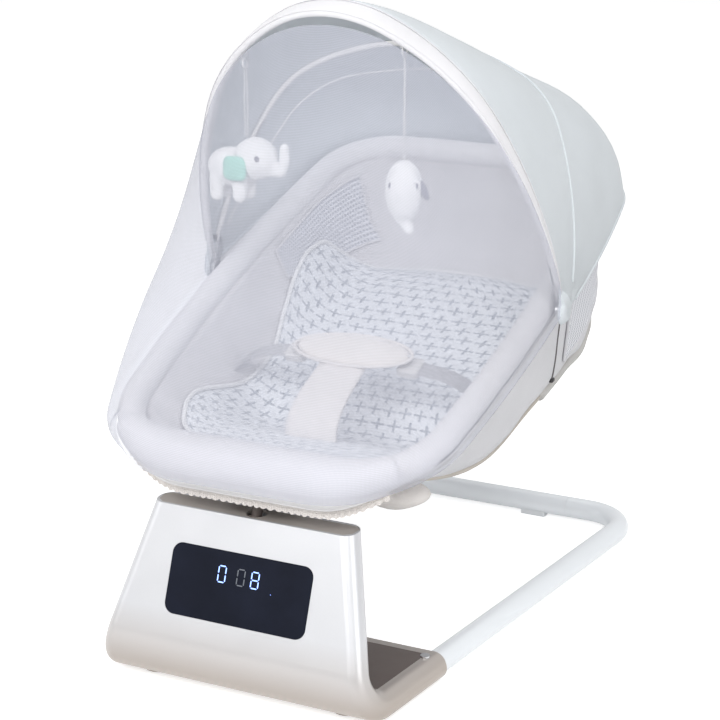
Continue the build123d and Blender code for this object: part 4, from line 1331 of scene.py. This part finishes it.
slit_keys = [(i, *p) for i, p in enumerate(SLIT)]
slit_line = even(curve_through(slit_keys, np.linspace(0, len(SLIT) - 1, 40)), 60)
slit_line = on_bucket(slit_line, out=0.0004)
edge_roll_line = low_edge(0.050, 0.300, inset=0.007, up=0.009)
edge_roll_line = np.concatenate([edge_roll_line, ring_point(*np.array(ROLL_TOP).T)])
for side in SIDES:
    rows = on_bucket(patch_lines(WINDOW_TOP, WINDOW_LOW, across=40, down=26), WINDOW_OUT)
    window = on_seat(cloth_piece(f"mesh_window_{side}", sided(side, rows)), AIRMESH)
    if side == "right":
        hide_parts("mesh_windows")
    window_trim = even(border_of(rows), 160)
    side_bead(f"mesh_window_trim_{side}", side, window_trim, TRIM_R, SIDE, closed=True)
    piping_line = low_edge(-0.286, 0.046, inset=0.006, up=0.008)
    side_bead(f"bucket_piping_{side}", side, piping_line, PIPE_R, PIPING)
    side_bead(f"bucket_edge_roll_{side}", side, even(edge_roll_line, 80), EDGE_ROLL_R, EDGING)
    # the slit is a dark bead of painted shadow
    side_bead(f"bucket_slit_{side}", side, slit_line, SLIT_R, SHADOW)
    glide = on_bucket([SLIT[-1]], out=0.001)[0]
    glide = glide if side == "right" else mirrored(glide)
    build = bmesh.new()
    place = Matrix.Translation(glide) @ Matrix.Diagonal((*GLIDE_SIZE, 1.0))
    bmesh.ops.create_cube(build, size=1.0, matrix=place)
    bmesh.ops.bevel(build, geom=build.edges[:], offset=GLIDE_BEVEL, segments=3, affect="EDGES")
    name = f"side_glide_{side}"
    on_seat(add_mesh(name, mesh_of(name, build)), BLACK)

# Fold of cloth hanging under each foot corner of the bucket

FOLD_AT = (0.128, -0.282, -0.062)
FOLD_SIZE = (0.044, 0.028, 0.016)


def fold_rows():
    polar = np.linspace(0.02, np.pi - 0.02, 20)[:, None]
    turn = full_turn(36)[None, :]
    parts = np.cos(polar) * np.ones_like(turn), np.sin(polar) * np.cos(turn), np.sin(polar) * np.sin(turn)
    spots = [part * size + at for part, size, at in zip(parts, FOLD_SIZE, FOLD_AT)]
    return uneven(ring_point(*spots), amount=0.22, size=0.045, seed=41, axes=(0, 1))


for side in SIDES:
    rows = sided(side, fold_rows()[:, ::-1])
    fold = on_seat(closed_piece(f"foot_fold_{side}", rows), CREAM)

# Lining of the tub, tucked under the rim roll

LINING_EDGE = -0.006
LINING_OUT = 0.009
LINING_THICK = 0.0022
LINING_CORNER = 0.050
LINING_TUCK = 0.003
UNDER_RIM = 0.006
INSIDE_TOP = [(0.073, -0.016), (0.150, -0.014), (0.272, -0.016)]
INSIDE_LOW = [(0.070, -0.052), (0.130, -0.086), (0.250, -0.100)]


def lining_rows(grow, push):
    rows = whole_tub(LINER, push, grow, LINING_EDGE, LINING_CORNER)
    wide, along, _ = ring_coords(rows[:, 0])
    right_ring = loop[: len(loop) // 2 + 1]
    rim_half = np.interp(along, right_ring[:, 1], right_ring[:, 0])
    half = np.maximum(rim_half - UNDER_RIM, np.abs(wide))
    right, left = [ring_point(x, along, LINING_EDGE - LINING_TUCK)[:, None] for x in (half, -half)]
    return np.concatenate([right, rows, left], axis=1)


wall_rows = rumpled(lining_rows(LINING_OUT, push=0.012), depth=0.0010, size=0.08, seed=17)
wall_under = lining_rows(LINING_OUT + LINING_THICK, push=0.014)
wall = on_seat(shell("inner_wall", wall_rows[:, ::-1], wall_under[:, ::-1]), (WALL, WALL))

for side in SIDES:
    patch = patch_lines(INSIDE_TOP, INSIDE_LOW, across=44, down=20)
    rows = on_wall(LINER, LINING_OUT, LINING_EDGE, LINING_CORNER, patch, -LINING_THICK)
    rows = sided(side, rows[:, ::-1])
    # the windows' inside face, in the darker copy with painted shade
    inside = on_seat(cloth_piece(f"lining_mesh_{side}", rows), MESH_PAINTED_SHADE)
    border = even(border_of(rows), 150)
    trim = tube(f"lining_mesh_trim_{side}", border, radius=0.0016, closed=True, side_to=(1, 0, 0))
    on_seat(trim, WALL)

# Printed pad in the lining: its half width along it, as a share of the way to the rim

LINER_OUTLINE = [
    (-0.306, 0.08),
    (-0.303, 0.34),
    (-0.294, 0.54),
    (-0.275, 0.70),
    (-0.245, 0.80),
    (-0.205, 0.82),
    (-0.150, 0.74),
    (-0.090, 0.63),
    (-0.030, 0.62),
    (0.040, 0.72),
    (0.090, 0.80),
    (0.140, 0.82),
    (0.182, 0.72),
    (0.206, 0.48),
    (0.216, 0.20),
    (0.218, 0.06),
]
LINER_RUNS = ((-0.306, -0.275, 14), (-0.27, 0.180, 66), (0.185, 0.218, 12))
LINER_ACROSS = 61
LINER_FINE = 201
LINER_THICK = 0.0085
QUILT_DEEP = 0.0011
QUILT_FROM = 0.004
PIPING_UP = 0.0025


def liner_rows(inset):
    places = np.concatenate([np.linspace(*run) for run in LINER_RUNS])
    share = curve_through(LINER_OUTLINE, places)[:, 0]
    rows = []
    for line, width in zip(tub_rows(LINER, places, inset, LINING_EDGE, LINING_CORNER, LINER_FINE), share):
        run = np.linspace(0.5 - width / 2, 0.5 + width / 2, LINER_ACROSS) * (LINER_FINE - 1)
        rows.append(np.stack([np.interp(run, np.arange(LINER_FINE), line[:, k]) for k in range(3)], -1))
    return np.array(rows)


def liner_lift(count):
    # Thickness of the pad, falling off at its edge.
    across = np.linspace(-1, 1, LINER_ACROSS)
    along = np.linspace(-1, 1, count)
    edge = np.sqrt(np.clip(1 - across**8, 0, 1))[None, :] * np.sqrt(np.clip(1 - along**20, 0, 1))[:, None]
    return edge * LINER_THICK


liner_low = liner_rows(inset=0.0080)
liner_base = liner_rows(inset=0.0070)
lift = liner_lift(len(liner_base))
facing = normals_of(liner_base)
if facing[len(facing) // 2, LINER_ACROSS // 2, 2] < 0:
    facing = -facing
quilt = QUILT_DEEP * ripple(liner_base, size=0.06, seed=23)
liner_top = liner_base + facing * (lift + quilt * (lift > QUILT_FROM))[..., None]
liner = on_seat(shell("printed_liner", liner_top[:, ::-1], liner_low[:, ::-1]), (PRINT, WALL))
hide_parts("seat_liner")
liner_border = even(border_of(liner_base + facing * PIPING_UP), 420)
liner_piping = tube("liner_piping", liner_border, radius=0.0028, sides=10, closed=True)
on_seat(liner_piping, LINER_PIPING)

# Tail of the liner, tucked in behind the foot pad
TAIL = [(-0.290, -0.0245), (-0.302, -0.0225), (-0.314, -0.0180), (-0.324, -0.0120), (-0.334, -0.0060)]
TAIL_HALF = 0.064
tail_x = np.linspace(TAIL_HALF, -TAIL_HALF, 25)
tail_rows = np.array([ring_point(tail_x, along, up) for along, up in TAIL])
tail = on_seat(cloth_piece("liner_tail", tail_rows), WALL)

# Harness: wide strap up between the legs, oval belly pad, webbing to both sides

PAD_TILT = math.radians(-6.0)
PAD_ALONG = -0.092
PAD_UP = -0.037
PAD_HALF_WIDE = 0.076
PAD_HALF_LONG = 0.036
PAD_THICK = 0.014
PAD_INSET = 0.0025
PAD_PIPING_IN = 0.0005
PAD_SIDES = 72
PAD_RINGS = (
    (0.02, 0.0),
    (0.5, 0.0),
    (0.86, 0.0012),
    (0.97, 0.004),
    (1.0, PAD_THICK / 2),
    (0.97, PAD_THICK - 0.004),
    (0.86, PAD_THICK - 0.0012),
    (0.5, PAD_THICK),
    (0.02, PAD_THICK),
)


def pad_ring(half_wide, half_long, up, count):
    # An oval in the pad's own tilted plane.
    turn = full_turn(count)
    c, s = math.cos(PAD_TILT), math.sin(PAD_TILT)
    along = half_long * np.sin(turn)
    return ring_point(half_wide * np.cos(turn), PAD_ALONG + along * c - up * s, PAD_UP + along * s + up * c)


pad_wide, pad_long = PAD_HALF_WIDE - PAD_INSET, PAD_HALF_LONG - PAD_INSET
pad_rows = [pad_ring(pad_wide * size, pad_long * size, up, PAD_SIDES) for size, up in PAD_RINGS]
belly = closed_piece("belly_pad_cover", np.array(pad_rows))
add_remesh(belly, voxel=0.004)
bake_modifiers(belly)
blow_up(belly, pressure=4.0, frames=16, cap=0.004)
finer = belly.modifiers.new("finer", "SUBSURF")
finer.levels = 1
bake_modifiers(belly)
smooth_faces(belly.data)
on_seat(belly, PAD_CLOTH)
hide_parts("belly_pad")
rim_path = pad_ring(PAD_HALF_WIDE - PAD_PIPING_IN, PAD_HALF_LONG - PAD_PIPING_IN, PAD_THICK / 2, 120)
on_seat(tube("belly_pad_piping", rim_path, radius=0.0022, sides=10, closed=True), CREAM)


def soft_line(points, count):
    # An even, smooth line through points.
    keys = [(place, *point) for place, point in zip(np.linspace(0, 1, len(points)), points)]
    return even(curve_through(keys, np.linspace(0, 1, 60)), count)


def ribbon(name, line, half_of, thick, across, look, place, crown=0.0):
    # A flat band along a line seen from the side.
    ahead = unit(np.gradient(line, axis=0))
    lift = np.stack([-ahead[:, 1], ahead[:, 0]], -1)
    width = np.linspace(-1, 1, across)
    swell = crown * (1 - width**4)
    edge = thick / 2 * np.sqrt(np.clip(1 - width**12, 0, 1))
    top, low = [], []
    for index, (spot, up) in enumerate(zip(line, lift)):
        half = half_of(index / (len(line) - 1))
        top.append(place(width * half, spot[None] + up[None] * (swell + edge)[:, None]))
        low.append(place(width * half, spot[None] - up[None] * edge[:, None]))
    piece = shell(name, np.array(top)[:, ::-1], np.array(low)[:, ::-1])
    return on_seat(piece, (look, look))


STRAP = [(-0.224, -0.074), (-0.212, -0.048), (-0.180, -0.034), (-0.120, -0.029)]
STRAP_UNDER = 0.003
STRAP_HALF = 0.034
STRAP_NARROWS = 0.004
strap = ribbon(
    "crotch_strap_cover",
    soft_line(STRAP, 34) - np.array([0.0, STRAP_UNDER]),
    lambda t: STRAP_HALF - STRAP_NARROWS * t,
    thick=0.005,
    across=33,
    look=CREAM,
    place=lambda x, spot: ring_point(x, spot[:, 0], spot[:, 1]),
    crown=0.0025,
)
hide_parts("crotch_strap")

WAIST = [(0.086, -0.042), (0.118, -0.047), (0.142, -0.0585), (0.1635, -0.0785)]
WAIST_ALONG = -0.0925
WEBBING_HALF = 0.0125
for side, sign in (("right", 1.0), ("left", -1.0)):
    webbing = ribbon(
        f"waist_strap_{side}",
        soft_line(WAIST, 40),
        lambda t: WEBBING_HALF,
        thick=0.0018,
        across=17,
        look=WEBBING,
        place=lambda width, spot: ring_point(sign * spot[:, 0], WAIST_ALONG + width, spot[:, 1]),
    )
    if side == "right":
        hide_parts("waist_straps")

# Toys

TOY_VOXEL = 0.0016
EYE_VOXEL = 0.0007
FIN_VOXEL = 0.0010
LIMB_STEPS = 14
EAR_HALF_X = 0.0152
EAR_HALF_Z = 0.0146
EAR_OUT = 0.0212
EAR_AT = (-0.004, -0.034)
EAR_RINGS = ((0.05, 0.0), (0.9, 0.0), (1.0, 0.0015), (0.96, 0.0032), (0.7, 0.0044), (0.05, 0.0048))
EYE_SIZE = (0.0034, 0.0018, 0.0038)
WHALE_EYE_OUT = 0.0204
WHALE_EYE_SIZE = (0.0020, 0.0022, 0.0036)


def ball(build, middle, sizes, turn=0.0):
    place = Matrix.Translation(middle) @ Matrix.Rotation(turn, 4, "Y") @ Matrix.Diagonal((*sizes, 1.0))
    bmesh.ops.create_uvsphere(build, u_segments=28, v_segments=18, radius=1.0, matrix=place)


def limb(build, points, radii):
    places = np.linspace(0, 1, LIMB_STEPS)
    sizes = np.interp(places, np.linspace(0, 1, len(radii)), radii)
    for point, size in zip(even(points, LIMB_STEPS), sizes):
        ball(build, point, (size, size, size))


def stuffed(name, build, voxel, look, body):
    # One skin round the joined forms, smoothed as a sewn toy is.
    piece = add_mesh(name, mesh_of(name, build))
    add_remesh(piece, voxel)
    relax = piece.modifiers.new("relax", "SMOOTH")
    relax.factor = 0.6
    relax.iterations = 8
    bake_modifiers(piece)
    smooth_faces(piece.data)
    finished(piece, look, body)
    return piece


def at_left(x, y, z):
    # A point measured from the lower end of the left cord.
    return (LEFT_TOY[0] + x, LEFT_TOY[1] + y, LEFT_TOY[2] - LEFT_CORD + z)


def at_right(x, y, z):
    return (RIGHT_TOY[0] + x, RIGHT_TOY[1] + y, RIGHT_TOY[2] - RIGHT_CORD + z)


build = bmesh.new()
ball(build, at_left(-0.022, 0, -0.037), (0.0285, 0.0218, 0.0232))
ball(build, at_left(0.012, 0, -0.0250), (0.0275, 0.0238, 0.0250))
trunk = [(0.026, -0.035), (0.044, -0.0375), (0.0495, -0.026), (0.0492, -0.010)]
limb(build, [at_left(x, 0, z) for x, z in trunk], [0.010, 0.0075, 0.0065, 0.0058])
for dx in (-0.034, -0.004):
    for dy in (-0.011, 0.011):
        limb(build, [at_left(dx, dy, -0.050), at_left(dx, dy, -0.068)], [0.0095, 0.0088])
elephant = stuffed("elephant_toy", build, TOY_VOXEL, PLUSH, "toy_left")
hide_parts("elephant_torso", "elephant_head", "elephant_trunk", "elephant_legs")


def ear_rows(sign):
    # A rounded square flap, plump in the middle.
    across, rise = rounded(full_turn(48), power=0.55)
    rows = []
    for size, out in EAR_RINGS:
        x, z = EAR_AT[0] + across * EAR_HALF_X * size, EAR_AT[1] + rise * EAR_HALF_Z * size
        rows.append(np.stack(np.broadcast_arrays(*at_left(x, sign * (EAR_OUT + out), z)), -1))
    return np.array(rows)


for side, sign in (("front", -1.0), ("back", 1.0)):
    rows = ear_rows(sign)
    rows = rows if sign > 0 else rows[:, ::-1]
    ear = finished(closed_piece(f"elephant_ear_{side}", rows), MINT, "toy_left")
    if side == "front":
        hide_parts("elephant_ears")
    build = bmesh.new()
    ball(build, at_left(0.024, sign * 0.0208, -0.021), EYE_SIZE)
    stuffed(f"elephant_eye_{side}", build, EYE_VOXEL, GREY, "toy_left")

build = bmesh.new()
ball(build, at_right(0, 0, -0.0345), (0.0216, 0.0212, 0.0335))
ball(build, at_right(0, 0, -0.0430), (0.0200, 0.0196, 0.0290))
tail_curl = [(0, -0.066), (0.003, -0.074), (0.006, -0.080)]
limb(build, [at_right(x, 0, z) for x, z in tail_curl], [0.0105, 0.0072, 0.0066])
whale = stuffed("whale_toy", build, TOY_VOXEL, PLUSH, "toy_right")
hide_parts("whale_body", "whale_tail")
build = bmesh.new()
ball(build, at_right(0.0235, 0.002, -0.034), (0.0045, 0.0042, 0.0125), math.radians(-24.0))
fin = stuffed("whale_fin_pad", build, FIN_VOXEL, GREY, "toy_right")
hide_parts("whale_fin")
for side, heading in (("left", -116.0), ("right", -22.0)):
    x, y = math.cos(math.radians(heading)), math.sin(math.radians(heading))
    build = bmesh.new()
    ball(build, at_right(WHALE_EYE_OUT * x, WHALE_EYE_OUT * y, -0.0275), WHALE_EYE_SIZE)
    stuffed(f"whale_eye_{side}", build, EYE_VOXEL, GREY, "toy_right")


def cord_curve(name, points, thick):
    data = bpy.data.curves.new(name, "CURVE")
    data.dimensions = "3D"
    data.bevel_depth = thick / 2
    data.bevel_resolution = 3
    spline = data.splines.new("NURBS")
    spline.points.add(len(points) - 1)
    for spot, point in zip(spline.points, points):
        spot.co = (*point, 1.0)
    spline.order_u = 3
    spline.use_endpoint_u = True
    return add_object(name, data)


def hang_cord(name, toy, length, shift, thick, body):
    # A cord from the loop down to the toy, bowed a little to one side.
    points = []
    for bow, drop in ((1.0, 0.0), (1.5, 0.35), (1.5, 0.7), (1.0, 1.0)):
        points.append((toy[0] + shift * bow, toy[1], toy[2] - length * drop))
    cord = finished(cord_curve(name, points, thick), CORD, body)
    return cord


STRAND_OFF = 0.0013
STRAND_THICK = 0.0018
CORD_THICK = 0.0030
first_strand = hang_cord("toy_string_left_a", LEFT_TOY, LEFT_CORD, -STRAND_OFF, STRAND_THICK, "toy_left")
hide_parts("toy_cord_left")
hang_cord("toy_string_left_b", LEFT_TOY, LEFT_CORD, STRAND_OFF, STRAND_THICK, "toy_left")
right_cord = hang_cord("toy_string_right", RIGHT_TOY, RIGHT_CORD, 0.0, CORD_THICK, "toy_right")
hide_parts("toy_cord_right")

# Lit digits on the display

SEGMENTS = {
    "a": ((-1, 2), (1, 2)),
    "b": ((1, 2), (1, 0)),
    "c": ((1, 0), (1, -2)),
    "d": ((-1, -2), (1, -2)),
    "e": ((-1, 0), (-1, -2)),
    "f": ((-1, 2), (-1, 0)),
    "g": ((-1, 0), (1, 0)),
}
DIGIT_HALF = 0.0044
DIGIT_UP = -0.0648
DOT_UP = -0.0765
SEGMENT_THICK = 0.0013
SEGMENT_GAP = 0.0007
SEGMENT_LOW = 0.00002
SEGMENT_HIGH = 0.00014


def segment_box(build, start, end, thick):
    # One lit bar standing just proud of the lens.
    start, end = np.array(start, float), np.array(end, float)
    along = unit(end - start)
    side = np.array([-along[1], along[0]]) * thick / 2
    start, end = start + along * SEGMENT_GAP, end - along * SEGMENT_GAP
    tip = along * thick / 2
    flat = [start, start + tip + side, end - tip + side, end, end - tip - side, start + tip - side]
    low, high = [[build.verts.new(face_point(*p, out)) for p in flat] for out in (SEGMENT_LOW, SEGMENT_HIGH)]
    build.faces.new(high)
    build.faces.new(low[::-1])
    for i in range(len(flat)):
        j = (i + 1) % len(flat)
        build.faces.new([low[i], low[j], high[j], high[i]])


def on_lens(name, build, look):
    piece = add_mesh(name, mesh_of(name, build), smooth_shaded=False)
    return finished(piece, look, "base")


def digit(name, middle, lit, look):
    build = bmesh.new()
    for key in lit:
        ends = [(middle + DIGIT_HALF * x, DIGIT_UP + DIGIT_HALF * y) for x, y in SEGMENTS[key]]
        segment_box(build, *ends, SEGMENT_THICK)
    on_lens(name, build, look)


digit("digit_hours", -0.0223, "abcdef", LIT)
digit("digit_tens", 0.0012, "abcdef", DIM)
digit("digit_units", 0.0186, "abcdefg", LIT)
build = bmesh.new()
segment_box(build, (0.0388, DOT_UP), (0.0408, DOT_UP), thick=0.0010)
on_lens("status_dot", build, LIT)

# Floor, light and camera

FLOOR_HALF = 6
FLOOR_GLOW = 0.62
WORLD_LEVEL = 0.42
WHITE = (1, 1, 1, 1)
corners = [(x * FLOOR_HALF, y * FLOOR_HALF, 0) for x, y in ((-1, -1), (1, -1), (1, 1), (-1, 1))]
floor_mesh = bpy.data.meshes.new("floor")
floor_mesh.from_pydata(corners, [], [(0, 1, 2, 3)])
floor = add_mesh("floor", floor_mesh)
floor_look = Look("floor")
floor_look.put(Base_Color=(0.80, 0.80, 0.80, 1), Roughness=0.9, Emission_Color=WHITE)
rays = floor_look.node("ShaderNodeLightPath").outputs
seen = floor_look.math("MAXIMUM", rays["Is Camera Ray"], rays["Is Glossy Ray"])
floor_look.link(floor_look.math("MULTIPLY", seen, FLOOR_GLOW), floor_look.shader.inputs["Emission Strength"])
dress(floor, floor_look.material)

world = bpy.data.worlds.new("studio")
bpy.context.scene.world = world
world.use_nodes = True
sky = Wiring(world.node_tree)
rays = sky.node("ShaderNodeLightPath").outputs
seen = sky.math("MAXIMUM", rays["Is Camera Ray"], rays["Is Transmission Ray"])
seen = sky.math("MAXIMUM", seen, rays["Is Glossy Ray"])
background = world.node_tree.nodes["Background"].inputs
background["Color"].default_value = WHITE
sky.link(sky.spread(seen, WORLD_LEVEL, 1.0, 0.0, 1.0), background["Strength"])


def lamp(name, place, target, power, size):
    data = bpy.data.lights.new(name, "AREA")
    data.energy = power
    data.size = size
    made = add_object(name, data)
    made.location = place
    made.rotation_euler = (Vector(target) - Vector(place)).to_track_quat("-Z", "Y").to_euler()


lamp("key", (1.2, -2.0, 2.2), (0, 0.1, 0.45), power=32, size=1.4)
lamp("fill", (-2.2, -1.6, 1.5), (0, 0, 0.35), power=16, size=1.8)
lamp("top", (0.2, 0.6, 2.6), (0, 0, 0.4), power=14, size=2.0)
lamp("front", (-0.3, -2.2, 1.6), (0, 0.2, 0.5), power=22, size=1.2)
lamp("side", (2.4, -0.5, 0.9), (0.1, 0.1, 0.4), power=13, size=1.4)

AZIMUTH = math.radians(25.82)
ELEVATION = math.radians(17.44)
camera_data = bpy.data.cameras.new("camera")
camera_data.lens = 95.6
camera_data.sensor_width = 36.0
camera = add_object("camera", camera_data)
camera.location = (0.949, -1.99829, 0.989)
level = math.cos(ELEVATION)
ahead = Vector((-math.sin(AZIMUTH) * level, math.cos(AZIMUTH) * level, -math.sin(ELEVATION)))
camera.rotation_euler = ahead.to_track_quat("-Z", "Y").to_euler()
bpy.context.scene.camera = camera
bpy.context.scene.view_settings.view_transform = "Standard"
